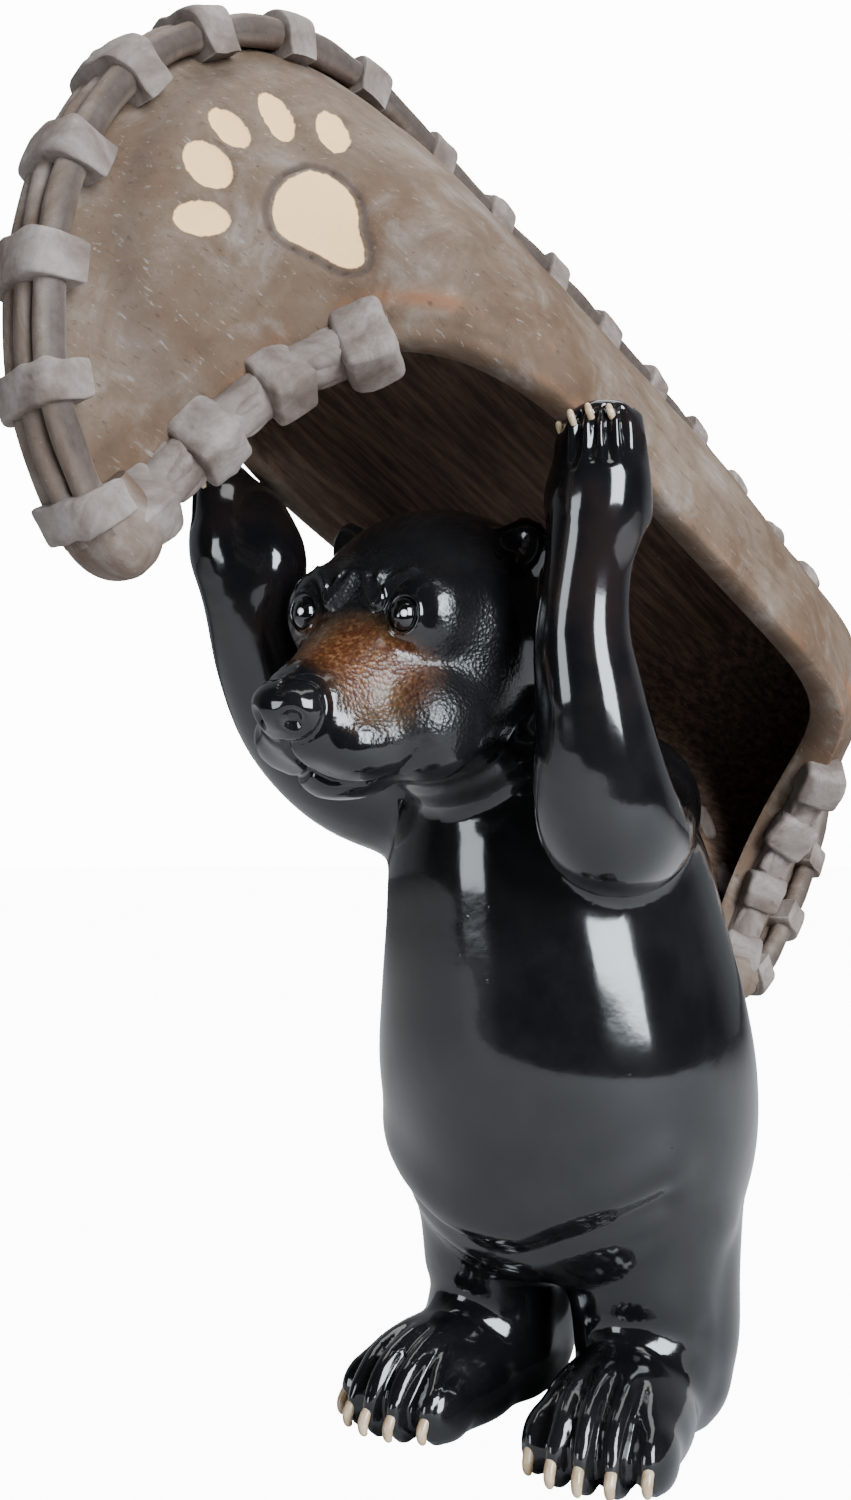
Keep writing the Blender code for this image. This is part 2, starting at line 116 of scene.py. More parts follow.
# Relief of the hull's outside, in metres
HULL_HUMPS = ((0.00022, 0.022, 3), (0.00008, 0.006, 4))    # height, breadth and seed
PRINT_DEPTH = 0.00045
PRINT_EDGE = 0.0003
PAD_RING = (0.00065, 0.0007, 0.00035)      # depth, distance from the outline and width
TOE_RING = (0.00010, 0.0001, 0.00020)
RIM_SCORE = (0.00018, 0.0016, 0.0004)      # depth, distance from the rim and width
LOW_SCORE = (0.00016, 0.00035)             # depth and width
RIM_TO_KEEL = 0.055                        # about, over the skin
BESIDE_BUNDLE = 0.004                      # where the print may begin
RIM_ROUND = ((0.10, 0.0005), (0.5, 0.0007), (0.9, 0.0005))    # share of the wall and drop

# A stem's end: rows of place along it, half width and half depth
STEM_END = ((0.0070, 0.0046, 0.0044), (0.0030, 0.0052, 0.0048), (0.0000, 0.0049, 0.0045),
            (-0.0022, 0.0038, 0.0036), (-0.0036, 0.0022, 0.0021), (-0.0040, 0.0005, 0.0005))
STEM_END_OUT = 0.0008
STEM_END_DROP = 0.0022
STEM_END_SIDES = 32

# Lines of the face and folds of the body, in units
MOUTH = [(0.0, -4.99, 9.71), (0.24, -4.86, 9.61), (0.47, -4.71, 9.60), (0.67, -4.47, 9.66),
         (0.92, -4.34, 9.82), (1.17, -4.38, 9.99), (1.35, -4.38, 10.2)]
PHILTRUM = [(0.0, -5.50, 10.05), (0.0, -5.26, 9.88), (0.0, -4.99, 9.71)]
NOSE_WING = [(0.10, -5.62, 10.90), (0.40, -5.46, 10.84), (0.56, -5.41, 10.58),
             (0.53, -5.44, 10.31), (0.34, -5.47, 10.11), (0.06, -5.5, 10.04)]
TUFTS = [[(0.36, -4.34, 11.92), (0.22, -4.3, 12.10), (0.10, -4.24, 12.34)],
         [(0.42, -4.34, 11.98), (0.33, -4.3, 12.18), (0.30, -4.22, 12.36)],
         [(0.47, -4.30, 12.06), (0.60, -4.26, 12.26), (0.80, -4.15, 12.38)]]
BELLY_FOLD = [(-2.3, -0.2, 3.72), (-1.75, -0.62, 3.42), (-1.25, -0.83, 3.16),
              (-0.79, -0.89, 2.94), (-0.1, -0.92, 2.80), (0.45, -0.91, 2.85), (0.9, -0.92, 3.04),
              (1.33, -0.83, 3.21), (1.79, -0.62, 3.42), (2.3, -0.2, 3.72)]
ANKLE_FOLD = [(0.62, 0.30, 1.50), (0.85, 0.10, 1.66), (1.25, -0.04, 1.80), (1.82, 0.05, 1.84),
              (2.25, 0.40, 1.70), (2.42, 0.80, 1.60)]
ELBOW_FOLD = [(1.75, -1.8, 8.15), (2.1, -1.2, 7.95), (2.5, -0.6, 7.95), (2.75, 0.0, 8.3)]

# Eyes: depth and radius of the socket, and height, radius and width of the lid
EYE_SOCKET = (0.10, 0.17)
EYE_LID = (0.040, 0.222, 0.036)

# Feet: the middle toe's reach, how far the others stand back, and how far apart they are
TOE_REACH = 2.45
TOE_CURVE = 0.09
TOE_PITCH = 0.43
TOE_EDGES = (-0.645, -0.215, 0.215, 0.645)
TOE_CLAW = 0.100
FINGER_CLAW = 0.056

# Where the skin is cut finer, in two rounds: places and radii on the head, the same on the
# body, and how high and how far forward in metres the feet are taken whole
FINE_PLACES = (
    ([((0, -4.5, 10.9), 1.62)],
     [((3.1, -3.4, 13.9), 1.1), ((-3.5, -3.4, 13.9), 1.1), ((0.6, -0.85, 2.95), 1.2),
      ((-0.9, -0.85, 3.0), 1.1)], (0.019, -0.001)),
    ([((0, -5.1, 10.15), 0.95), ((0.55, -4.4, 12.0), 0.6), ((-0.55, -4.4, 12.0), 0.6)],
     [((3.15, -3.55, 13.85), 0.55), ((-3.5, -3.6, 13.95), 0.55)], (0.012, -0.005)))

# Middles and radii of the orange on the muzzle and of the fur on the face
MUZZLE_TAN = ((0, -4.4, 10.86), (1.45, 1.35, 1.02))
FACE_FUR = ((0, -3.7, 10.95), (1.85, 1.6, 1.75))

# Lights: turn from straight in front, rise, distance, size, power and tint
LIGHTS = (("key", 70.0, 16.0, 0.95, (0.46, 0.66), 24.0, (0.84, 0.92, 1.0)),
          ("fill", -20.0, 2.0, 0.95, (0.30, 0.34), 2.6, (0.84, 0.92, 1.0)),
          ("top", -170.0, 84.0, 1.05, (1.2, 1.2), 14.0, (1.0, 1.0, 1.0)))
FLOOR_RADIUS = 3.0
FLOOR_BEFORE = 0.24            # how far the floor runs toward the camera
FLOOR_WHITE = 0.88
ROOM_FRONT = (0.64, -0.77, 0.0)
FRONT_LIGHT = 0.02             # and from in front
ROOM_LIGHT = 0.25              # what the glaze mirrors from behind
BACKDROP_LIGHT = 14.0          # what the camera sees there
CAMERA_PLACE = Vector((0.1222, -0.19182, 0.0880))
CAMERA_TURN = 0.623            # round Z from straight in front, to the bear's left
CAMERA_TILT = 0.062            # up
CAMERA_ROLL = -0.0035


# Working on meshes

def deselect():
    """Nothing selected."""
    bpy.ops.object.select_all(action="DESELECT")


def only(piece):
    """The piece selected alone, and active."""
    deselect()
    piece.select_set(True)
    bpy.context.view_layer.objects.active = piece


def points(piece):
    """The piece's points as an array."""
    flat = np.empty(len(piece.data.vertices) * 3, dtype=np.float32)
    piece.data.vertices.foreach_get("co", flat)
    return flat.reshape(-1, 3).astype(float)


def put_points(piece, spots):
    """Moves the piece's points to these places."""
    piece.data.vertices.foreach_set("co", spots.astype(np.float32).ravel())
    piece.data.update()


def point_normals(piece):
    """The piece's normals at its points."""
    flat = np.empty(len(piece.data.vertices) * 3, dtype=np.float32)
    piece.data.vertex_normals.foreach_get("vector", flat)
    return flat.reshape(-1, 3).astype(float)


def keep(piece, name, values):
    """Keeps a number or a vector on each point for the finish to read."""
    plain = values.ndim == 1
    layer = piece.data.attributes.new(name, "FLOAT" if plain else "FLOAT_VECTOR", "POINT")
    layer.data.foreach_set("value" if plain else "vector", values.astype(np.float32).ravel())


def turned(spots, matrix):
    """Points moved by a matrix."""
    whole = np.array(matrix)
    return spots @ whole[:3, :3].T + whole[:3, 3]


def apply(piece, kind, **settings):
    """A modifier, applied."""
    only(piece)
    step = piece.modifiers.new(kind.lower(), kind)
    for name, value in settings.items():
        setattr(step, name, value)
    bpy.ops.object.modifier_apply(modifier=step.name)


def smooth(piece, angle=40.0):
    """Smooth shading, with edges sharper than the angle kept."""
    only(piece)
    bpy.ops.object.shade_smooth_by_angle(angle=radians(angle))


def join(name, pieces):
    """The pieces as one mesh."""
    only(pieces[0])
    for piece in pieces:
        piece.select_set(True)
    bpy.ops.object.join()
    whole = bpy.context.object
    whole.name = whole.data.name = name
    return whole


def sheet(name, rings, marks):
    """A grid with its points where the rings of points are."""
    rows, columns = rings.shape[0] - 1, rings.shape[1] - 1
    deselect()
    bpy.ops.mesh.primitive_grid_add(x_subdivisions=columns, y_subdivisions=rows, size=2)
    piece = bpy.context.object
    piece.name = piece.data.name = name
    flat = points(piece)
    column = np.rint((flat[:, 0] + 1) / 2 * columns).astype(int)
    row = np.rint((flat[:, 1] + 1) / 2 * rows).astype(int)
    put_points(piece, rings[row, column])
    for mark, values in marks.items():
        keep(piece, mark, values[row, column])
    return piece


def loft(name, rings, marks=None):
    """A closed skin through rings of points, with its ends filled."""
    rings = np.concatenate([rings, rings[:, :1]], axis=1)
    marks = {mark: np.concatenate([values, values[:, :1]], axis=1)
             for mark, values in (marks or {}).items()}
    piece = sheet(name, rings, marks)
    only(piece)
    bpy.ops.object.mode_set(mode="EDIT")
    bpy.ops.mesh.select_all(action="SELECT")
    bpy.ops.mesh.remove_doubles(threshold=MERGE)
    bpy.ops.mesh.fill_holes(sides=0)
    bpy.ops.mesh.normals_make_consistent(inside=False)
    bpy.ops.object.mode_set(mode="OBJECT")
    return piece


def smooth_path(rows, steps):
    """Rows on a smooth curve through the given rows."""
    rows = np.array(rows, dtype=float)
    rows = np.vstack([2 * rows[0] - rows[1], rows, 2 * rows[-1] - rows[-2]])
    path = []
    for first in range(len(rows) - 3):
        a, b, c, d = rows[first:first + 4]
        for step in range(steps):
            t = step / steps
            path.append(0.5 * (2 * b + (c - a) * t + (2 * a - 5 * b + 4 * c - d) * t ** 2
                               + (3 * b - a - 3 * c + d) * t ** 3))
    path.append(rows[-2])
    return np.array(path)


def unevenness(spots, size, seed, waves=10):
    """A smooth wobble between about -1 and 1, with humps about so far apart."""
    random = np.random.default_rng(seed)
    total = np.zeros(spots.shape[:-1])
    for _ in range(waves):
        way = random.normal(size=3)
        way *= 2 * pi / size * random.uniform(0.6, 1.4) / np.linalg.norm(way)
        total += np.sin(spots @ way + random.uniform(0, 2 * pi))
    return total / waves ** 0.5


def hump(distance, middle, width):
    """1 at the middle, and softly down to 0 within about two widths."""
    return np.exp(-((distance - middle) / width) ** 2)


def from_segment(spots, start, stop):
    """Each spot's distance from a straight piece of line."""
    way = stop - start
    share = np.clip((spots - start) @ way / (way @ way), 0, 1)
    return np.linalg.norm(spots - start - share[..., None] * way, axis=-1)


def near_line(spots, line):
    """Each spot's distance from a line of points."""
    nearest = np.full(len(spots), np.inf)
    for start, stop in zip(line, line[1:]):
        nearest = np.minimum(nearest, from_segment(spots, start, stop))
    return nearest


# Finishes

def add_node(tree, kind, **settings):
    """A node with its settings."""
    made = tree.nodes.new("ShaderNode" + kind)
    for name, value in settings.items():
        setattr(made, name, value)
    return made


class Value:
    """A socket that Python's operators add Math nodes to."""

    def __init__(self, finish, socket):
        self.finish, self.socket = finish, socket

    def maths(self, operation, other):
        """A Math node on this value and another."""
        return self.finish.node("Math", {"operation": operation}, {0: self, 1: other})

    def __add__(self, other):
        return self.maths("ADD", other)

    def __mul__(self, other):
        return self.maths("MULTIPLY", other)

    def __sub__(self, other):
        return self.maths("SUBTRACT", other)

    def __rsub__(self, other):
        return (self * -1.0) + other

    __radd__ = __add__

    def between(self, low, high):
        """0 at low, 1 at high, and a straight rise between them."""
        return self.finish.node("MapRange", {"clamp": True}, {0: self, 1: low, 2: high})

    def eased(self, low, high):
        """0 at low, 1 at high, and a soft rise between them."""
        settings = {"interpolation_type": "SMOOTHSTEP"}
        return self.finish.node("MapRange", settings, {0: self, 1: low, 2: high})


class Finish:
    """A material under construction."""

    def __init__(self, name):
        self.material = bpy.data.materials.new(name)
        self.material.use_nodes = True
        self.tree = self.material.node_tree
        self.shader = self.tree.nodes["Principled BSDF"]

    def feed(self, socket, value):
        """Sets a socket, or links to it."""
        if isinstance(value, Value):
            self.tree.links.new(value.socket, socket)
        elif isinstance(value, tuple) and len(value) == 3 and socket.type == "RGBA":
            socket.default_value = (*value, 1.0)
        else:
            socket.default_value = value

    def node(self, kind, settings, sockets, output=0):
        """A node with its settings and then its sockets' values, as one of its outputs."""
        new = add_node(self.tree, kind, **settings)
        for name, value in sockets.items():
            self.feed(new.inputs[name], value)
        return Value(self, new.outputs[output])

    def kept(self, name, vector=False):
        """What a piece keeps on its points."""
        return self.node("Attribute", {"attribute_name": name}, {}, 1 if vector else 2)

    def place(self):
        """The place on the object."""
        return self.node("TexCoord", {}, {}, 3)

    def stretched(self, place, scale):
        """The place scaled, for a pattern that runs one way."""
        return self.node("Mapping", {}, {0: place, "Scale": scale})

    def noise(self, place, scale, detail=3.0, roughness=0.55, distortion=0.0):
        """Cloudy noise from 0 to 1."""
        sockets = {"Vector": place, "Scale": scale, "Detail": detail,
                   "Roughness": roughness, "Distortion": distortion}
        return self.node("TexNoise", {}, sockets)

    def cells(self, place, scale):
        """The distance to the nearest of scattered points."""
        return self.node("TexVoronoi", {}, {"Vector": place, "Scale": scale})

    def mix(self, share, first, second):
        """One colour turning into another."""
        return self.node("Mix", {"data_type": "RGBA"}, {0: share, 6: first, 7: second}, 2)

    def layers(self, colour, *over):
        """A colour with others over it, each a pair of its share and itself."""
        for share, top in over:
            colour = self.mix(share, colour, top)
        return colour

    def bump(self, height, distance, strength):
        """A relief of this height in metres, onto the shader."""
        sockets = {"Height": height, "Distance": distance, "Strength": strength}
        self.feed(self.shader.inputs["Normal"], self.node("Bump", {}, sockets))

    def set(self, **sockets):
        """Sets the shader's own sockets, with _ for a space in their names."""
        for name, value in sockets.items():
            self.feed(self.shader.inputs[name.replace("_", " ")], value)


def canoe_finish():
    """Matt stained clay: grey brown outside, dark and grained inside, cream print, and painted
    shade in creases, scores and the pad's groove.
    """
    clay = Finish("canoe_clay_fine")
    own = clay.kept("own", vector=True)
    inside, printed, pad, raised, crease_shade, rust = (
        clay.kept(name) for name in ("inside", "print", "pad", "raised", "low", "rust"))
    cloud = clay.noise(own, 38.0, 4.0, 0.6)
    patch = clay.noise(own, 110.0, 5.0, 0.65, 0.6)
    fine = clay.noise(own, 900.0, 4.0, 0.7)
    grain = clay.noise(clay.stretched(own, (60.0, 900.0, 900.0)), 1.0, 4.0, 0.65, 0.2)
    scuffs = clay.noise(clay.stretched(own, (240.0, 1400.0, 1400.0)), 1.0, 3.0, 0.7, 0.3)
    outside = clay.layers(
        clay.mix(cloud.eased(0.30, 0.72), (0.088, 0.046, 0.022), (0.168, 0.120, 0.084)),
        (patch.eased(0.48, 0.78) * 0.55, (0.285, 0.252, 0.226)),
        (patch.eased(0.52, 0.28) * 0.5, (0.052, 0.028, 0.016)),
        (scuffs.eased(0.60, 0.74) * 0.6, (0.300, 0.262, 0.232)),
        (scuffs.eased(0.40, 0.28) * 0.7, (0.045, 0.024, 0.013)),
        (grain.eased(0.46, 0.72) * 0.28, (0.080, 0.048, 0.029)))
    lashed = clay.mix(patch.eased(0.30, 0.72), (0.112, 0.080, 0.064), (0.315, 0.268, 0.240))
    lashed = clay.mix(fine.eased(0.62, 0.38) * 0.18, lashed, (0.085, 0.052, 0.036))
    dark = clay.mix(grain.eased(0.35, 0.7), (0.060, 0.033, 0.021), (0.165, 0.100, 0.066))
    # ring is painted shade in the carved groove round the pad
    ring = pad.between(0.00125, 0.0009) * pad.between(0.0002, 0.0005)
    edge = printed + (fine - 0.5) * 0.00035
    pits = clay.cells(own, 420.0).between(0.20, 0.05) * clay.noise(own, 150.0).between(0.55, 0.7)
    # crease_shade (the low mark) is painted shade in the creases beside the bundle, in the low
    # score and between the ribs
    colour = clay.layers(
        outside, (raised, lashed), (inside, dark),
        (crease_shade * (0.55 + fine * 0.6), (0.050, 0.036, 0.030)),
        (rust * patch.eased(0.30, 0.62), (0.235, 0.098, 0.040)),
        (ring * 0.75, (0.060, 0.040, 0.030)),
        (edge.between(0.00008, -0.00008), (1.0, 0.60, 0.27)),
        (pits * 0.7 * (1 - printed.between(0.0, -0.0001)), (0.055, 0.040, 0.032)))
    clay.set(Base_Color=colour, Roughness=0.62 + fine * 0.25, Specular_IOR_Level=0.35)
    relief = fine * 0.45 + patch * 0.5 + grain * inside * 0.8 - pits * 0.8
    clay.bump(relief, 0.00022, 0.8)
    return clay.material


def glaze_finish():
    """Glossy black glaze with an orange peel, an airbrushed muzzle and fine fur."""
    glaze = Finish("bear_glaze_fine")
    place = glaze.place()
    tan = glaze.kept("tan")
    fur = glaze.kept("fur")
    brown = glaze.kept("brown")
    cloud = glaze.noise(place, 70.0, 4.0, 0.6)
    peel = glaze.noise(place, 420.0, 2.0, 0.5)
    fine = glaze.noise(place, 1500.0, 3.0, 0.6)
    hair = glaze.cells(place, 1900.0)
    black = glaze.mix(cloud.eased(0.35, 0.7), (0.0045, 0.0045, 0.0052), (0.0105, 0.0100, 0.0105))
    black = glaze.mix(brown * cloud.eased(0.45, 0.65) * 0.5, black, (0.017, 0.009, 0.008))
    warm = glaze.mix(cloud.eased(0.38, 0.62), (0.100, 0.024, 0.005), (0.118, 0.060, 0.018))
    warm = glaze.mix(fine.eased(0.45, 0.7) * 0.5, warm, (0.36, 0.17, 0.07))
    share = (tan + (fine - 0.5) * 0.5 * tan).between(0.08, 0.85)
    glaze.set(Base_Color=glaze.mix(share, black, warm),
              Roughness=0.09 + fur * 0.26 + cloud * 0.06, Specular_IOR_Level=0.5,
              Coat_Weight=0.6 - fur * 0.5, Coat_Roughness=0.05, Coat_IOR=1.45)
    specks = glaze.cells(place, 300.0).between(0.10, 0.02)
    relief = peel * 0.16 + fine * 0.03 + fur * (hair * 0.9 + fine * 0.5) + specks * 0.12
    glaze.bump(relief, 0.00016, 0.75)
    return glaze.material


def eye_finish():
    """Wet black eyes with a painted white highlight on each."""
    eye = Finish("eye_gloss")
    painted_highlight = eye.kept("painted_highlight")
    # A painted white highlight on the black eye
    eye.set(Base_Color=eye.mix(painted_highlight.between(0.4, 0.6), (0.003, 0.003, 0.003), (0.93, 0.93, 0.92)),
            Roughness=0.04, Coat_Weight=1.0)
    return eye.material


def claw_finish():
    """Cream claws with cloudy browner stains."""
    claw = Finish("claw_cream")
    place = claw.place()
    stain = claw.noise(place, 500.0, 3.0)
    colour = claw.mix(stain.eased(0.3, 0.7), (0.46, 0.31, 0.17), (0.66, 0.50, 0.33))
    claw.set(Base_Color=colour, Roughness=0.28, Coat_Weight=0.5)
    claw.bump(stain, 0.00015, 0.5)
    return claw.material


# The canoe's lines, as in its casting

def stem(end, steps=400):
    """A stem's curve from its tip up to the keel, as (u, w) rows."""
    reach, drop, sweep = end
    keel_end = (CANOE_LENGTH - BOW[0] - STERN[0]) / 2
    angles = np.linspace(-sweep, pi / 2, steps)
    height = np.where(angles < 0, drop, CANOE_DEPTH)
    return np.stack([keel_end + reach * np.cos(angles), height * np.sin(angles)], -1)


def stem_and_keel(steps=400):
    """The centre line from bow tip over the keel to stern tip."""
    keel_end = (CANOE_LENGTH - BOW[0] - STERN[0]) / 2
    along = np.linspace(1.0, -1.0, steps)[1:-1]
    keel = np.stack([along * keel_end, CANOE_DEPTH + KEEL_CROWN * (1 - along ** 2) ** 2], -1)
    return np.concatenate([stem(BOW), keel, stem(STERN)[::-1] * (-1, 1)])


def lengths(line):
    """The distance along the line at each of its points."""
    return np.concatenate([[0.0], np.cumsum(np.linalg.norm(np.diff(line, axis=0), axis=1))])


def at_lengths(line, distances):
    """The line's points at these distances along it, straight on past its ends."""
    run = lengths(line)
    distances = np.asarray(distances, dtype=float)
    spots = np.stack([np.interp(distances, run, line[:, k]) for k in range(line.shape[1])], -1)
    start = (line[1] - line[0]) / (run[1] - run[0])
    stop = (line[-1] - line[-2]) / (run[-1] - run[-2])
    before = np.minimum(distances, 0.0)
    after = np.maximum(distances - run[-1], 0.0)
    return spots + np.multiply.outer(before, start) + np.multiply.outer(after, stop)


def outward(line):
    """The unit vector across a (u, w) line, away from the hull's inside."""
    slope = np.gradient(line, axis=0)
    across = np.stack([-slope[:, 1], slope[:, 0]], -1)
    across /= np.linalg.norm(across, axis=1)[:, None]
    return -across if across[len(line) // 2, 1] < 0 else across


def gunwale(centre, half_beam, steps=801):
    """The rim's line on the left side, from tip to tip of the centre line."""
    (bow_u, bow_w), (stern_u, stern_w) = centre[0], centre[-1]
    t = np.linspace(1.0, -1.0, steps)
    return np.stack([np.where(t > 0, t * bow_u, -t * stern_u),
                     half_beam * (1 - np.abs(t) ** BEAM_FULLNESS) ** TIP_FINENESS,
                     np.where(t > 0, bow_w, stern_w) * np.abs(t) ** SHEER_FULLNESS], -1)


def inner_centre():
    """The inside's centre line, set in from the outside by the wall."""
    centre = stem_and_keel()
    run = lengths(centre)
    from_tip = np.minimum(run, run[-1] - run)
    fade = np.clip(from_tip / (CANOE_DEPTH + BOW[1]), 0, 1) ** 2
    inset = STEM_WALL + (WALL - STEM_WALL) * fade
    return centre - outward(centre) * inset[:, None]


OUTER_CENTRE = stem_and_keel()
OUTER_RIM = gunwale(OUTER_CENTRE, CANOE_BEAM / 2)
INNER_CENTRE = inner_centre()
INNER_RIM = gunwale(INNER_CENTRE, CANOE_BEAM / 2 - WALL)


def skin_rings(centre, rim, shares, sides):
    """Points over the hull: a row for each share of its length, from left over keel to right."""
    rim_shares = shares + RIM_LEAD * np.sin(2 * pi * shares) / (2 * pi)
    keel = at_lengths(centre, shares * lengths(centre)[-1])[:, None]
    edge = at_lengths(rim, rim_shares * lengths(rim)[-1])[:, None]
    drop = np.abs(sides) ** HULL_ROUNDNESS
    breadth = (1 - (1 - drop) ** 2) * np.sign(sides)
    u = keel[..., 0] + (edge[..., 0] - keel[..., 0]) * drop
    w = keel[..., 1] + (edge[..., 2] - keel[..., 1]) * drop
    return np.stack([u, edge[..., 1] * breadth, w], -1)


def outline_distance(spots, outline):
    """The distance to a closed outline in the plane, less than 0 inside it."""
    nearest = np.full(spots.shape[:-1], np.inf)
    inside = np.zeros(spots.shape[:-1], dtype=bool)
    for start, stop in zip(outline, np.roll(outline, -1, axis=0)):
        way = stop - start
        nearest = np.minimum(nearest, from_segment(spots, start, stop))
        crosses = (start[1] > spots[..., 1]) != (stop[1] > spots[..., 1])
        rise = np.where(way[1] == 0, 1e-12, way[1])
        inside ^= crosses & (spots[..., 0] < start[0] + (spots[..., 1] - start[1]) * way[0] / rise)
    return np.where(inside, -nearest, nearest)


def print_distances(rings):
    """How far each point is from the pad's outline and from the nearest toe's."""
    flat = rings[..., [0, 2]]
    pad_line = smooth_path(np.vstack([PAD, PAD[:1]]), 4)[:-1]
    pad = outline_distance(flat, pad_line)
    toes = np.full(pad.shape, np.inf)
    turns = np.linspace(0, 2 * pi, 28, endpoint=False)[:, None]
    for middle, long_end, short_end in TOES:
        line = middle + np.cos(turns) * (long_end - middle) + np.sin(turns) * (short_end - middle)
        toes = np.minimum(toes, outline_distance(flat, line))
    return pad, toes


def hull_relief(outer, from_rim, pad, toes):
    """The height of humps, print and scores on the outside, and where the low score is."""
    relief = sum(height * unevenness(outer, size, seed) for height, size, seed in HULL_HUMPS)
    relief -= PRINT_DEPTH * np.clip(1 - np.minimum(pad, toes) / PRINT_EDGE, 0, 1)
    for distance, (depth, middle, width) in ((pad, PAD_RING), (toes, TOE_RING),
                                             (from_rim, RIM_SCORE)):
        relief -= depth * hump(distance, middle, width)
    depth, width = LOW_SCORE
    low_line = 0.0045 + 0.009 * np.clip((outer[..., 0] + 0.035) / 0.06, 0, 1)
    score = hump(from_rim, low_line, width) * (outer[..., 0] < 0.03)
    return relief - depth * score, score


def hull_shade_and_rust(outer, from_rim, score):
    """Painted shade along the bundle's sides and in the low score, and rust beside the lashings.
    """
    # Painted shade: darker in the crease beside the rib bundle and in the low score
    bundle_shade = hump(np.abs(outer[..., 1]), 0.0050, 0.0012) * np.clip(from_rim / 0.01, 0, 1)
    crease_shade = np.clip(0.35 * score + 0.30 * bundle_shade, 0, 1)
    ends = np.abs(outer[..., 0]) > 0.040
    rust = hump(from_rim, 0.0058, 0.0016) * ends * 0.8 + 0.5 * hump(from_rim, 0.0, 0.0016)
    return crease_shade, rust * np.clip(0.5 + 0.8 * unevenness(outer, 0.011, 9), 0, 1)


def make_hull():
    """The hull as one skin: outside, rims and inside, with its recessed print and scores."""
    shares = np.linspace(0, 1, HULL_STATIONS + 1)
    out_sides = np.linspace(1, -1, OUTER_COLUMNS + 1)
    in_sides = np.linspace(-1, 1, INNER_COLUMNS + 1)
    keel = OUTER_COLUMNS // 2
    outer = skin_rings(OUTER_CENTRE, OUTER_RIM, shares, out_sides)
    inner = skin_rings(INNER_CENTRE, INNER_RIM, shares, in_sides)
    across = np.cross(np.gradient(outer, axis=0), np.gradient(outer, axis=1))
    across /= np.maximum(np.linalg.norm(across, axis=-1, keepdims=True), 1e-12)
    across *= 1 if across[HULL_STATIONS // 2, keel, 2] > 0 else -1
    flank = np.abs(outer[..., 1]) > BESIDE_BUNDLE
    pad, toes = (np.where(flank, gap, 1.0) for gap in print_distances(outer))
    from_rim = (1 - np.abs(out_sides))[None, :] * RIM_TO_KEEL + 0 * pad
    relief, score = hull_relief(outer, from_rim, pad, toes)
    edge_fade = np.clip(np.minimum(shares, 1 - shares) / 0.02, 0, 1)[:, None]
    edge_fade = edge_fade * np.clip((1 - np.abs(out_sides)) / 0.02, 0, 1)[None, :]
    outer = outer + across * (relief * edge_fade)[..., None]
    rims = []
    for start, stop in ((outer[:, -1], inner[:, 0]), (inner[:, -1], outer[:, 0])):
        rims.append(np.stack([start + (stop - start) * share
                              - (0, 0, 1) * (drop * edge_fade[:, keel:keel + 1])
                              for share, drop in RIM_ROUND], 1))
    rings = np.concatenate([outer, rims[0], inner, rims[1]], axis=1)

    def over_skin(outside, on_rims, within):
        """One mark over the whole skin."""
        rim = np.full(rims[0].shape[:2], on_rims)
        return np.concatenate([outside, rim, np.full(inner.shape[:2], within), rim], 1)

    # The low mark is painted shade in the creases and the score; rust is the clay's own stain
    crease_shade, rust = hull_shade_and_rust(outer, from_rim, score)
    marks = {"inside": over_skin(0 * pad, 0.0, 1.0), "own": rings, "pad": over_skin(pad, 1.0, 1.0),
             "print": over_skin(np.minimum(pad, toes), 1.0, 1.0),
             "low": over_skin(crease_shade, 0.0, 0.0), "rust": over_skin(rust, 0.0, 0.0)}
    return loft("canoe_hull", rings, marks)


def tube(name, line, radii, sides=14, ups=(0.0, 0.0, 1.0)):
    """A round rod along a line, with its own radius at each point."""
    ahead = np.gradient(line, axis=0)
    ahead /= np.linalg.norm(ahead, axis=1)[:, None]
    side = np.cross(ahead, ups)
    side /= np.linalg.norm(side, axis=1)[:, None]
    up = np.cross(side, ahead)
    turns = np.linspace(0, 2 * pi, sides, endpoint=False)
    rings = line[:, None] + (side[:, None] * np.cos(turns)[None, :, None]
                             + up[:, None] * np.sin(turns)[None, :, None]) * radii[:, None, None]
    return loft(name, rings)


def mark_canoe_piece(piece, raised, low=None):
    """Keeps on a lashing or rib what the clay finish reads."""
    spots = points(piece)
    keep(piece, "own", spots)
    keep(piece, "raised", np.full(len(spots), raised))
    keep(piece, "print", np.ones(len(spots)))
    keep(piece, "pad", np.ones(len(spots)))
    # low is painted shade where a rib meets its neighbours
    keep(piece, "low", np.zeros(len(spots)) if low is None else low)


def centre_frame(distances):
    """Places along stems and keel, and the way out of the hull there."""
    run = lengths(OUTER_CENTRE)
    line = at_lengths(OUTER_CENTRE, distances)
    across = outward(OUTER_CENTRE)
    up = np.stack([np.interp(distances, run, across[:, k]) for k in range(2)], -1)
    up /= np.linalg.norm(up, axis=1)[:, None]
    zeros = np.zeros(len(line))
    return (np.stack([line[:, 0], zeros, line[:, 1]], -1),
            np.stack([up[:, 0], zeros, up[:, 1]], -1))


def make_ribs():
    """Three ribs side by side round stems and keel."""
    total = lengths(OUTER_CENTRE)[-1]
    distances = np.linspace(0.0018, total - 0.0018, 420)
    line, up = centre_frame(distances)
    ribs = []
    for index, (across, rise) in enumerate(((-RIB_SPACING, 0.00045), (0.0, 0.0009),
                                            (RIB_SPACING, 0.00045))):
        wobble = unevenness(line, 0.018, 20 + index)
        middle = line + up * (rise + 0.00015 * wobble)[:, None]
        middle[:, 1] += across + 0.00012 * unevenness(line, 0.013, 30 + index)
        radii = RIB_RADIUS * (1 + 0.05 * unevenness(line, 0.008, 40 + index))
        rib = tube("rib", middle, radii, ups=up)
        spots = points(rib)
        # Painted shade down each rib's sides, where the ribs meet
        gap = np.abs(spots[:, 1] - across)
        low = np.clip((gap / RIB_RADIUS - 0.62) / 0.3, 0, 1) ** 1.5
        mark_canoe_piece(rib, 0.45, low)
        ribs.append(rib)
    return join("canoe_ribs", ribs)


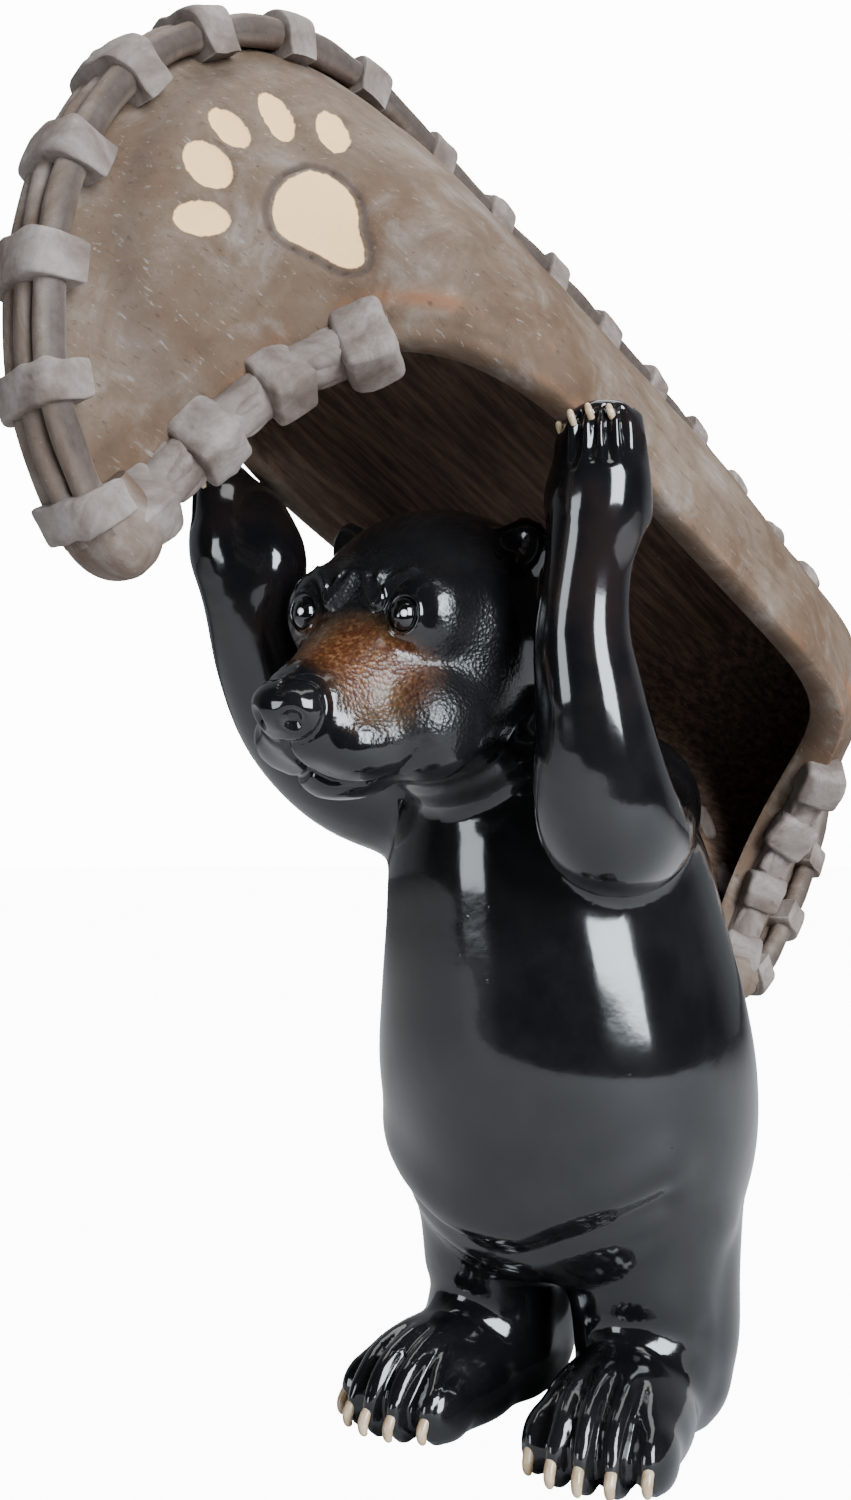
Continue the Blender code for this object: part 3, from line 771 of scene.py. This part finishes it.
def strap_rings(distance, random):
    """One strap's rings: a soft-edged band over the ribs."""
    outline = [(1.0, -0.70), (1.0, 0.10), (0.97, 0.45), (0.86, 0.74), (0.66, 0.90), (0.33, 0.98),
               (0.0, 1.0)]
    outline += [(-x, y) for x, y in reversed(outline[:-1])]
    x, y = smooth_path(outline, 3).T
    half = STRAP_HALF_LENGTH * random.uniform(0.92, 1.10)
    skew = random.uniform(-0.07, 0.07)
    rise = random.uniform(0.96, 1.05)
    lean = random.uniform(-0.04, 0.04)
    rings = []
    for share, size in ((-1.0, 0.0), (-1.0, 0.60), (-0.97, 0.80), (-0.86, 0.93), (-0.6, 0.99),
                        (-0.2, 1.0), (0.2, 1.0), (0.6, 0.99), (0.86, 0.93), (0.97, 0.80),
                        (1.0, 0.60), (1.0, 0.0)):
        (spot,), (up,) = centre_frame(np.array([distance + share * half]))
        out = 0.55 + 0.45 * size if size else 0.3
        tall = rise * (0.72 + 0.28 * size) if size else 0.3
        ring = spot + np.outer((y * tall + x * lean) * STRAP_TOP, up)
        ring += np.outer(x * STRAP_HALF_WIDTH * (0.80 + 0.20 * out), (0, 1, 0))
        ahead = np.cross(up, (0.0, 1.0, 0.0))
        rings.append(ring + ahead * (ring[:, 1:2] * skew))
    rings = np.array(rings)
    return rings + 0.00012 * unevenness(rings, 0.004, int(distance * 1e5))[..., None]


def make_straps():
    """The straps that wrap the rib bundle."""
    random = np.random.default_rng(11)
    total = lengths(OUTER_CENTRE)[-1]
    count = round((total - 2 * STRAP_START) / STRAP_PITCH) + 1
    straps = []
    for middle in np.linspace(STRAP_START, total - STRAP_START, count):
        strap = loft("strap", strap_rings(middle, random))
        mark_canoe_piece(strap, 1.0)
        straps.append(strap)
    return join("canoe_straps", straps)


def block(name, half_size, random):
    """A lashing's block: a cube with broad soft edges, a little uneven."""
    deselect()
    bpy.ops.mesh.primitive_cube_add(size=2)
    piece = bpy.context.object
    piece.name = piece.data.name = name
    put_points(piece, points(piece) * np.array(half_size))
    apply(piece, "BEVEL", width=min(half_size) * 0.30, segments=4)
    only(piece)
    bpy.ops.object.mode_set(mode="EDIT")
    bpy.ops.mesh.select_all(action="SELECT")
    bpy.ops.mesh.subdivide(number_cuts=3)
    bpy.ops.object.mode_set(mode="OBJECT")
    spots = points(piece)
    bulge = 1 - 0.06 * (spots[:, :1] / half_size[0]) ** 2
    spots[:, 1:] *= bulge
    spots += 0.00012 * unevenness(spots, 0.0035, int(random.integers(1000)))[:, None]
    put_points(piece, spots)
    return piece


def make_lashing(name, end, side):
    """The blocks along one end of one gunwale, over a core."""
    random = np.random.default_rng(50 + end * 2 + side)
    middle = (OUTER_RIM * 0.94 + INNER_RIM * 0.06)[::end].copy()
    middle[:, 2] -= 0.0010
    middle[:, 1] *= side
    first = BOW_LASHING if end > 0 else STERN_LASHING
    stop = first + (LASHINGS - 1) * LASHING_PITCH + 0.0028
    core_line = at_lengths(middle, np.linspace(0.003, stop, 40))
    pieces = [tube("core", core_line, np.full(40, CORE_RADIUS), sides=16)]
    for index in range(2 * LASHINGS - 1):
        size = SMALL_BLOCK if index % 2 else BIG_BLOCK
        distance = first + index * LASHING_PITCH / 2
        piece = block("block", tuple(size * random.uniform(0.95, 1.05)), random)
        before, spot, after = at_lengths(middle, [distance - 0.001, distance, distance + 0.001])
        ahead = Vector(after - before).normalized()
        across = ahead.cross(Vector((0, 0, 1))).normalized()
        up = across.cross(ahead)
        turn = Matrix((ahead, across, up)).transposed().to_4x4()
        tilt = Euler([radians(random.uniform(-9, 9)) for _ in range(3)]).to_matrix().to_4x4()
        put_points(piece, turned(points(piece), Matrix.Translation(spot) @ turn @ tilt))
        pieces.append(piece)
    for piece in pieces:
        mark_canoe_piece(piece, 1.0)
    return join(name, pieces)


def make_stem_end(name, end):
    """The blunt wooden nose that closes a stem past its last strap."""
    total = lengths(OUTER_CENTRE)[-1]
    distance = -STEM_END_OUT if end > 0 else total + STEM_END_OUT
    (spot,), (up,) = centre_frame(np.array([distance]))
    ahead = np.cross(up, (0.0, 1.0, 0.0)) * (1 if end > 0 else -1)
    turns = np.linspace(0, 2 * pi, STEM_END_SIDES, endpoint=False)
    wide, deep = (np.sign(wave) * np.abs(wave) ** 0.6 for wave in (np.cos(turns), np.sin(turns)))
    rings = [spot + ahead * along - up * STEM_END_DROP + np.outer(wide * half_width, (0, 1, 0))
             + np.outer(deep * half_depth, up) for along, half_width, half_depth in STEM_END]
    rings = smooth_path(np.array(rings).reshape(len(rings), -1), 4)
    piece = loft(name, rings.reshape(-1, STEM_END_SIDES, 3))
    mark_canoe_piece(piece, 0.3)
    return piece


def make_canoe(clay):
    """The canoe's pieces, built along its own axes and then put in place."""
    pieces = [make_hull(), make_ribs(), make_straps(), make_stem_end("canoe_bow_end", 1),
              make_stem_end("canoe_stern_end", -1)]
    for end, end_name in ((1, "bow"), (-1, "stern")):
        for side, side_name in ((1, "left"), (-1, "right")):
            pieces.append(make_lashing(f"canoe_lashing_{end_name}_{side_name}", end, side))
    for piece in pieces:
        put_points(piece, turned(points(piece), CANOE_PLACE))
        settle(piece, clay, 50.0, "canoe")


# The bear's forms

def ball(centre, radii, turn=(0.0, 0.0, 0.0), segments=36, rings=24):
    """An ellipsoid in bear units, turned by degrees about X, Y and Z."""
    deselect()
    bpy.ops.mesh.primitive_uv_sphere_add(segments=segments, ring_count=rings, radius=1.0)
    piece = bpy.context.object
    place = Euler([radians(angle) for angle in turn]).to_matrix().to_4x4()
    size = Matrix.Diagonal((*(Vector(radii) * UNIT), 1.0))
    matrix = Matrix.Translation(Vector(centre) * UNIT) @ place @ size
    put_points(piece, turned(points(piece), matrix))
    return piece


def limb(rows, steps=8):
    """A round limb through rows of x, y, z and radius in bear units."""
    path = smooth_path(rows, steps) * UNIT
    ends = [ball(row[:3] / UNIT, [row[3] / UNIT] * 3) for row in (path[0], path[-1])]
    return [tube("limb", path[:, :3], path[:, 3], sides=32, ups=(0.0, -1.0, 0.12))] + ends


def trunk(rows, steps=6, sides=64):
    """A smooth body through rows of height, middle's y, half breadth and half depth."""
    turns = np.linspace(0, 2 * pi, sides, endpoint=False)
    rings = []
    for z, y, breadth, depth in smooth_path(rows, steps) * UNIT:
        rings.append(np.stack([breadth * np.cos(turns), y + depth * np.sin(turns),
                               np.full(sides, z)], -1))
    return loft("trunk", np.array(rings))


def head_place():
    """From the upright head to the tilted one in its place."""
    about = Matrix.Translation(HEAD_PIVOT + STANCE)
    return about @ Matrix.Rotation(HEAD_TILT, 4, "Y") @ Matrix.Translation(-HEAD_PIVOT)


def head_forms():
    """Skull, muzzle, nose, lips, cheeks, brows and ears."""
    pieces = [ball((0, -2.30, 11.80), (1.86, 2.05, 1.74)),
              ball((0, -1.40, 10.9), (1.55, 1.9, 1.7)),
              ball((0, -2.95, 10.95), (1.60, 1.45, 1.32)),
              ball((0, -5.50, 10.50), (0.56, 0.42, 0.38), (-12, 0, 0)),
              ball((0, -4.12, 9.72), (0.62, 0.80, 0.34), (14, 0, 0))]
    pieces += limb([(0, -2.9, 11.25, 1.40), (0, -3.6, 10.98, 1.22), (0, -4.3, 10.68, 1.00),
                    (0, -4.95, 10.48, 0.74)])
    for side in (1, -1):
        pieces += [ball((side * 0.42, -4.42, 10.19), (0.70, 0.92, 0.56), (10, 0, side * 10)),
                   ball((side * 0.88, -3.70, 10.46), (0.80, 0.95, 0.80), (6, 0, side * 20)),
                   ball((side * 0.84, -3.83, 11.86), (0.62, 0.58, 0.70), (0, side * 8, 0)),
                   ball((side * 1.50, -2.70, 12.95), (0.42, 0.24, 0.44),
                        (0, side * 30, side * 25))]
    head = join("head", pieces)
    put_points(head, turned(points(head), head_place()))
    return head


def foot_spot(side, forward, across, up):
    """A place on a foot, forward and across from its heel."""
    heading = radians(FOOT_SPLAY) * side
    heel = Vector((side * 1.34, 1.15, 0.0))
    return heel + Vector((sin(heading) * forward + cos(heading) * across,
                          -cos(heading) * forward + sin(heading) * across, up))


def foot_forms(side):
    """One foot: sole pad, instep and five toes."""
    splay = (0, 0, side * FOOT_SPLAY)
    pieces = [ball(foot_spot(side, 0.0, 0.0, 0.9), (1.08, 1.15, 1.2), splay),
              ball(foot_spot(side, 1.3, 0.0, 0.55), (1.08, 1.6, 0.95), splay)]
    for toe in range(-2, 3):
        spot = foot_spot(side, TOE_REACH - TOE_CURVE * toe * toe, toe * TOE_PITCH, 0.4)
        pieces.append(ball(spot, (0.27, 0.55, 0.5), splay))
    return pieces


def body_forms():
    """Trunk, arms, paws, legs and feet."""
    pieces = [trunk([(2.05, 1.35, 0.9, 0.9), (2.4, 1.35, 1.9, 1.85), (3.1, 1.32, 2.55, 2.45),
                     (4.1, 1.25, 2.88, 2.78), (5.3, 1.08, 2.97, 2.93), (6.5, 0.95, 2.83, 2.86),
                     (7.6, 0.78, 2.62, 2.74), (8.7, 0.58, 2.42, 2.58), (9.7, 0.40, 2.08, 2.22),
                     (10.5, 0.33, 1.62, 1.75), (11.1, 0.33, 0.95, 1.0), (11.3, 0.33, 0.4, 0.4)])]
    pieces += limb([(1.6, 0.0, 9.3, 1.2), (2.35, -1.2, 9.0, 0.95), (2.62, -2.2, 9.1, 0.98),
                    (2.72, -2.65, 9.8, 0.86), (2.77, -2.9, 10.5, 0.74),
                    (GRIP - 0.24, -3.1, 11.4, 0.64), (GRIP - 0.09, -3.2, 12.3, 0.57),
                    (GRIP + 0.06, -3.2, 13.0, 0.66), (GRIP + 0.11, -3.2, 13.6, 0.62),
                    (GRIP + 0.16, -3.3, 13.95, 0.4)])
    pieces += limb([(-1.7, -0.2, 9.6, 1.2), (-2.4, -1.3, 9.9, 1.0), (-2.87, -2.1, 10.6, 0.86),
                    (-3.02, -2.65, 11.5, 0.76), (-GRIP + 0.02, -3.0, 12.5, 0.76),
                    (-GRIP - 0.04, -3.1, 13.2, 0.86), (-GRIP - 0.16, -3.2, 13.8, 0.72),
                    (-GRIP - 0.26, -3.3, 14.2, 0.4)])
    pieces.append(ball((-GRIP + 0.44, -3.1, 12.95), (0.56, 0.6, 0.85)))
    pieces.append(ball((GRIP - 0.18, -3.15, 13.15), (0.54, 0.5, 0.72)))
    for x, y, z in LEFT_FINGERS + RIGHT_FINGERS:
        pieces += limb([(x, y + 0.32, z - 0.85, 0.15), (x, y + 0.05, z - 0.25, 0.185),
                        (x, y, z + 0.15, 0.19), (x, y + 0.06, z + 0.42, 0.14)])
    for side in (1, -1):
        leg = [(1.25, 1.2, 3.4, 1.5), (1.34, 1.1, 2.2, 1.2), (1.37, 1.1, 1.1, 1.1)]
        calf = [(1.30, 1.60, 3.2, 1.33), (1.35, 1.60, 2.2, 1.22), (1.37, 1.6, 1.3, 1.18),
                (1.38, 1.55, 0.8, 1.08)]
        pieces += limb([(side * x, y, z, r) for x, y, z, r in leg])
        pieces += limb([(side * x, y, z, r) for x, y, z, r in calf])
        pieces += foot_forms(side)
    body = join("body", pieces)
    put_points(body, points(body) + np.array(STANCE))
    return body


def on_skin(bear, spot):
    """The place on the skin nearest to a spot."""
    _, place, _, _ = bear.closest_point_on_mesh(spot)
    return place


def press(bear, push):
    """Presses the skin in by so many units at each of its points."""
    put_points(bear, points(bear) - point_normals(bear) * push[:, None] * UNIT)


def groove(bear, frame_place, line, width, depth, fade=None):
    """Presses a groove along a line of places, or raises a ridge where depth is under 0."""
    path = smooth_path(np.array([frame_place @ (Vector(spot) * UNIT) for spot in line]), 6)
    path = np.array([on_skin(bear, spot) for spot in path])
    spots = points(bear)
    push = depth * hump(near_line(spots, path) / UNIT, 0.0, width)
    if fade:
        low, high = fade
        push *= np.clip((spots[:, 2] / UNIT - low) / (high - low), 0, 1)
    press(bear, push)


def both_sides(line):
    """A line on the left, and the same on the right."""
    return [line, [(-x, y, z) for x, y, z in line]]


def dish(bear, frame_place, centre, radius, depth):
    """Presses a round hollow."""
    middle = np.array(on_skin(bear, frame_place @ (Vector(centre) * UNIT)))
    gap = np.linalg.norm(points(bear) - middle, axis=1) / UNIT
    press(bear, depth * np.exp(-(gap / radius) ** 4))


def eye_spot(side):
    """The middle of a socket, in the head's frame."""
    return Vector((side * EYE.x, EYE.y, EYE.z))


def eye_axis(side):
    """The way an eye looks, in the head's frame."""
    return Vector((side * 0.30, -0.94, 0.10)).normalized()


def sculpt_eye(bear, head, side):
    """A socket for the eyeball, with a lid round it."""
    axis = np.array(head.to_3x3() @ eye_axis(side))
    spots = points(bear)
    away = (spots - np.array(head @ (eye_spot(side) * UNIT))) / UNIT
    along = away @ axis
    radial = away - along[:, None] * axis
    radial = np.linalg.norm(radial * (1, 1, 1 / EYE_STRETCH), axis=1)
    (depth, socket), (height, radius, width) = EYE_SOCKET, EYE_LID
    rise = height * hump(radial, radius, width) - depth * np.exp(-(radial / socket) ** 4)
    rise *= np.abs(along) < 0.4
    put_points(bear, spots + axis * rise[:, None] * UNIT)


def refine(bear, head, stand, on_head, on_body, feet):
    """Cuts the faces finer near places on head and body and on the front of the feet."""
    flat = np.empty(len(bear.data.polygons) * 3, dtype=np.float32)
    bear.data.polygons.foreach_get("center", flat)
    spots = flat.reshape(-1, 3).astype(float)
    chosen = (spots[:, 2] < feet[0]) & (spots[:, 1] < feet[1])
    for frame_place, places in ((head, on_head), (stand, on_body)):
        for centre, radius in places:
            middle = np.array(frame_place @ (Vector(centre) * UNIT))
            chosen |= np.linalg.norm(spots - middle, axis=1) < radius * UNIT
    only(bear)
    bpy.ops.object.mode_set(mode="EDIT")
    bpy.ops.mesh.select_mode(type="FACE")
    bpy.ops.mesh.select_all(action="DESELECT")
    bpy.ops.object.mode_set(mode="OBJECT")
    bear.data.polygons.foreach_set("select", chosen)
    bpy.ops.object.mode_set(mode="EDIT")
    bpy.ops.mesh.subdivide(number_cuts=1, smoothness=0.6)
    bpy.ops.mesh.select_mode(type="VERT")
    bpy.ops.object.mode_set(mode="OBJECT")


def sculpt_head(bear, head):
    """Eyes' lids, nostrils, ears, mouth, nose and tufts."""
    for side in (1, -1):
        sculpt_eye(bear, head, side)
        dish(bear, head, (side * 0.29, -5.74, 10.33), 0.15, 0.12)
        dish(bear, head, (side * 1.48, -2.95, 12.98), 0.26, 0.12)
    tufts = [line for tuft in TUFTS for line in both_sides(tuft)]
    for lines, width, depth in ((both_sides(MOUTH), 0.050, 0.065), ([PHILTRUM], 0.045, 0.09),
                                (both_sides(NOSE_WING), 0.055, 0.045), (tufts, 0.080, -0.120)):
        for line in lines:
            groove(bear, head, line, width, depth)


def part_toes(bear, side):
    """Grooves between a foot's toes, deep in front and fading up the instep."""
    heel = np.array(foot_spot(side, 0, 0, 0))
    ahead = np.array(foot_spot(side, 1, 0, 0)) - heel
    aside = np.array(foot_spot(side, 0, 1, 0)) - heel
    away = (points(bear) - np.array(STANCE)) / UNIT - heel
    forward, across = away @ ahead, away @ aside
    across = across / (0.74 + 0.26 * np.clip((forward - 1.1) / 1.3, 0, 1))
    fade = np.clip((forward - 1.60) / 0.85, 0, 1) * (away[:, 2] < 1.9)
    fade *= np.abs(across) < 1.5
    push = sum(hump(across, edge, 0.075) for edge in TOE_EDGES) * 0.135
    push -= 0.03 * np.clip(np.cos(across * 2 * pi / TOE_PITCH), 0, 1) * (np.abs(across) < 1.0)
    press(bear, push * fade)


def sculpt_body(bear, stand):
    """Folds of belly, elbows and ankles, and the grooves of toes and fingers."""
    groove(bear, stand, BELLY_FOLD, 0.24, 0.13)
    groove(bear, stand, [(x, y, z + 0.55) for x, y, z in BELLY_FOLD], 0.45, -0.12)
    for line in both_sides(ANKLE_FOLD):
        groove(bear, stand, line, 0.20, 0.07)
    groove(bear, stand, ELBOW_FOLD, 0.12, 0.08)
    for side in (1, -1):
        part_toes(bear, side)
    for fingers in (LEFT_FINGERS, RIGHT_FINGERS):
        for first, second in zip(fingers, fingers[1:]):
            middle = (Vector(first) + Vector(second)) / 2
            out = Vector((middle.x / abs(middle.x) * 0.2, -0.25, 0.0))
            line = [middle + out + Vector((0, 0, up)) for up in (0.45, 0.20, -0.05, -0.30)]
            groove(bear, stand, line, 0.065, 0.10, fade=(13.35, 13.95))


def paint_bear(bear, head):
    """Keeps where the muzzle is orange, where the fur is fine and where the glaze is brown."""
    spots = turned(points(bear), head.inverted()) / UNIT
    muzzle, face = (np.linalg.norm((spots - middle) / radii, axis=1)
                    for middle, radii in (MUZZLE_TAN, FACE_FUR))
    tan = np.clip(1.40 - 1.28 * muzzle, 0, 1) * np.clip((spots[:, 1] + 5.50) / 0.35, 0, 1)
    tan *= spots[:, 1] < -3.2
    keep(bear, "tan", tan)
    fur = np.clip((1.15 - face) / 0.25, 0, 1) * np.clip((spots[:, 1] + 5.45) / 0.25, 0, 1)
    for side in (1, -1):
        eye = np.linalg.norm(spots - np.array(eye_spot(side)), axis=1)
        fur *= np.clip((eye - 0.42) / 0.2, 0, 1)
    fur *= np.clip((spots[:, 2] - 9.95) / 0.35, 0, 1) * (spots[:, 1] < -2.2)
    keep(bear, "fur", fur)
    keep(bear, "brown", np.clip((spots[:, 2] - 10.2) / 1.5, 0, 1) * (np.abs(spots[:, 0]) > 2.0))


def make_bear(glaze):
    """The bear's skin from its forms, with its fine features sculpted in."""
    bear = join("bear_body", [body_forms(), head_forms()])
    apply(bear, "REMESH", mode="VOXEL", voxel_size=VOXEL)
    apply(bear, "SMOOTH", factor=0.5, iterations=SOFT_PASSES)
    only(bear)
    bpy.ops.object.mode_set(mode="EDIT")
    bpy.ops.mesh.select_all(action="SELECT")
    bpy.ops.mesh.bisect(plane_co=(0, 0, 0), plane_no=(0, 0, 1), use_fill=True, clear_inner=True)
    bpy.ops.object.mode_set(mode="OBJECT")
    head, stand = head_place(), Matrix.Translation(STANCE)
    for places in FINE_PLACES:
        refine(bear, head, stand, *places)
    sculpt_head(bear, head)
    sculpt_body(bear, stand)
    apply(bear, "SMOOTH", factor=0.5, iterations=3)
    paint_bear(bear, head)
    settle(bear, glaze, 70.0, "bear")


def settle(piece, material, angle, node):
    """The piece's finish and shading; the node it stands for is hidden and the piece hung on the
    root body.
    """
    piece.data.materials.clear()
    piece.data.materials.append(material)
    smooth(piece, angle)
    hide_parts(node)
    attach(piece, "root")


def make_eyes(gloss):
    """Two glass-bright eyeballs, each with a painted white highlight turned toward the camera."""
    head = head_place()
    # Each painted highlight is turned toward the camera, so the two eyes' highlights are not
    # mirrored
    for side, name, highlight_way in ((1, "eye_left", (0.52, -0.85, 0.06)),
                             (-1, "eye_right", (0.20, -0.97, 0.06))):
        centre = eye_spot(side) - eye_axis(side) * 0.07
        radii = (EYE_RADIUS, EYE_RADIUS, EYE_RADIUS * EYE_STRETCH)
        eye = ball(centre, radii, segments=64, rings=48)
        eye.name = eye.data.name = name
        away = np.array(points(eye) / UNIT - np.array(centre))
        toward = np.array(Vector(highlight_way).normalized()) * EYE_RADIUS
        gap = np.linalg.norm(away - toward, axis=1)
        keep(eye, "painted_highlight", np.clip(1 - gap / 0.085, 0, 1))
        put_points(eye, turned(points(eye), head))
        settle(eye, gloss, 180.0, "bear")


def claw(line, radius):
    """A claw along a line of places in units, from its root to its tip."""
    path = smooth_path(line, 5) * UNIT
    share = np.linspace(0, 1, len(path))
    radii = radius * UNIT * np.sqrt(np.clip(1 - share ** 2.2, 0.01, 1)) * (0.75 + 0.35 * share)
    return tube("claw", path, radii, ups=(0.3, 0.0, 1.0))


def make_claws(cream):
    """Cream claws on every toe and finger."""
    for side, name in ((1, "claws_left_foot"), (-1, "claws_right_foot")):
        claws = []
        for toe in range(-2, 3):
            front = TOE_REACH - TOE_CURVE * toe * toe + 0.55
            rows = [(front - 0.20, 0.46), (front - 0.06, 0.38), (front + 0.01, 0.25),
                    (front, 0.14), (front - 0.06, 0.07)]
            claws.append(claw([foot_spot(side, forward, toe * TOE_PITCH, up)
                               for forward, up in rows], TOE_CLAW))
        finish_claws(join(name, claws), cream)
    for fingers, name in ((LEFT_FINGERS, "claws_left_paw"), (RIGHT_FINGERS, "claws_right_paw")):
        claws = []
        for x, y, z in fingers:
            inward = -0.12 if x > 0 else 0.12
            claws.append(claw([(x, y - 0.10, z + 0.22), (x, y - 0.16, z + 0.29),
                               (x + inward * 0.2, y - 0.16, z + 0.36),
                               (x + inward * 0.4, y - 0.12, z + 0.40)], FINGER_CLAW))
        finish_claws(join(name, claws), cream)


def finish_claws(claws, cream):
    """Puts a paw's claws in place."""
    put_points(claws, points(claws) + np.array(STANCE))
    settle(claws, cream, 60.0, "bear")


# The stage

def show_camera(tree, plain, seen, surface, share=1.0):
    """Puts what is seen in a plain surface's place, by this share, for the camera alone."""
    ray = add_node(tree, "LightPath").outputs["Is Camera Ray"]
    if share < 1.0:
        part = add_node(tree, "Math", operation="MULTIPLY")
        part.inputs[1].default_value = share
        tree.links.new(ray, part.inputs[0])
        ray = part.outputs["Value"]
    either = add_node(tree, "MixShader")
    tree.links.new(ray, either.inputs["Fac"])
    tree.links.new(plain, either.inputs[1])
    tree.links.new(seen, either.inputs[2])
    tree.links.new(either.outputs["Shader"], surface)


def make_world():
    """A room dark in front and pale behind, and a white backdrop for the camera."""
    world = bpy.data.worlds.new("studio")
    bpy.context.scene.world = world
    world.use_nodes = True
    tree = world.node_tree
    air, out = tree.nodes["Background"], tree.nodes["World Output"]
    air.inputs["Color"].default_value = (0.88, 0.94, 1.0, 1.0)
    way = add_node(tree, "TexCoord")
    ahead = add_node(tree, "VectorMath", operation="DOT_PRODUCT")
    ahead.inputs[1].default_value = ROOM_FRONT
    tree.links.new(way.outputs["Generated"], ahead.inputs[0])
    dim = add_node(tree, "MapRange", interpolation_type="SMOOTHSTEP")
    for name, value in (("From Min", -0.55), ("From Max", -0.05), ("To Min", ROOM_LIGHT),
                        ("To Max", FRONT_LIGHT)):
        dim.inputs[name].default_value = value
    tree.links.new(ahead.outputs["Value"], dim.inputs["Value"])
    tree.links.new(dim.outputs["Result"], air.inputs["Strength"])
    seen = add_node(tree, "Background")
    seen.inputs["Color"].default_value = (1.0, 1.0, 1.0, 1.0)
    seen.inputs["Strength"].default_value = BACKDROP_LIGHT
    show_camera(tree, air.outputs["Background"], seen.outputs["Background"],
                out.inputs["Surface"])


def make_floor():
    """A pale floor that ends a little before the bear and runs far behind it."""
    deselect()
    middle = Vector((-sin(CAMERA_TURN), cos(CAMERA_TURN), 0.0)) * (FLOOR_RADIUS - FLOOR_BEFORE)
    bpy.ops.mesh.primitive_circle_add(vertices=160, radius=FLOOR_RADIUS, fill_type="NGON",
                                      location=middle)
    floor = bpy.context.object
    bpy.ops.object.transform_apply(location=True, rotation=True, scale=True)
    floor.name = floor.data.name = "floor"
    pale = Finish("floor_pale")
    pale.set(Base_Color=(0.56, 0.56, 0.57), Roughness=0.8)
    tree = pale.material.node_tree
    out = next(each for each in tree.nodes if each.type == "OUTPUT_MATERIAL")
    shaded = out.inputs["Surface"].links[0].from_socket
    white = add_node(tree, "Emission")
    white.inputs["Strength"].default_value = BACKDROP_LIGHT
    show_camera(tree, shaded, white.outputs["Emission"], out.inputs["Surface"], FLOOR_WHITE)
    floor.data.materials.append(pale.material)


def make_stage():
    """The floor, the room and three soft lights."""
    make_floor()
    make_world()
    for name, turn, rise, away, size, power, tint in LIGHTS:
        aim = Vector((0.0, 0.0, 0.10))
        place = aim + away * Vector((sin(radians(turn)) * cos(radians(rise)),
                                     -cos(radians(turn)) * cos(radians(rise)), sin(radians(rise))))
        facing = (aim - place).to_track_quat("-Z", "Y").to_euler()
        bpy.ops.object.light_add(type="AREA", location=place, rotation=facing)
        light = bpy.context.object
        light.name = name
        light.data.shape = "RECTANGLE"
        light.data.size, light.data.size_y = size
        light.data.energy = power
        light.data.color = tint


def make_camera():
    """The camera where the photograph was taken from."""
    ahead = Vector((-sin(CAMERA_TURN) * cos(CAMERA_TILT), cos(CAMERA_TURN) * cos(CAMERA_TILT),
                    sin(CAMERA_TILT)))
    right = Vector((cos(CAMERA_TURN), sin(CAMERA_TURN), 0.0))
    up = right.cross(ahead)
    right, up = (right * cos(CAMERA_ROLL) + up * sin(CAMERA_ROLL),
                 up * cos(CAMERA_ROLL) - right * sin(CAMERA_ROLL))
    turn = Matrix((right, up, -ahead)).transposed().to_euler()
    bpy.ops.object.camera_add(location=CAMERA_PLACE, rotation=turn)
    camera = bpy.context.object
    camera.data.sensor_fit = "VERTICAL"
    camera.data.sensor_height = 24.0
    camera.data.lens = 24.0
    camera.data.clip_start = 0.01
    bpy.context.scene.camera = camera


make_stage()
make_camera()
make_canoe(canoe_finish())
make_bear(glaze_finish())
make_eyes(eye_finish())
make_claws(claw_finish())
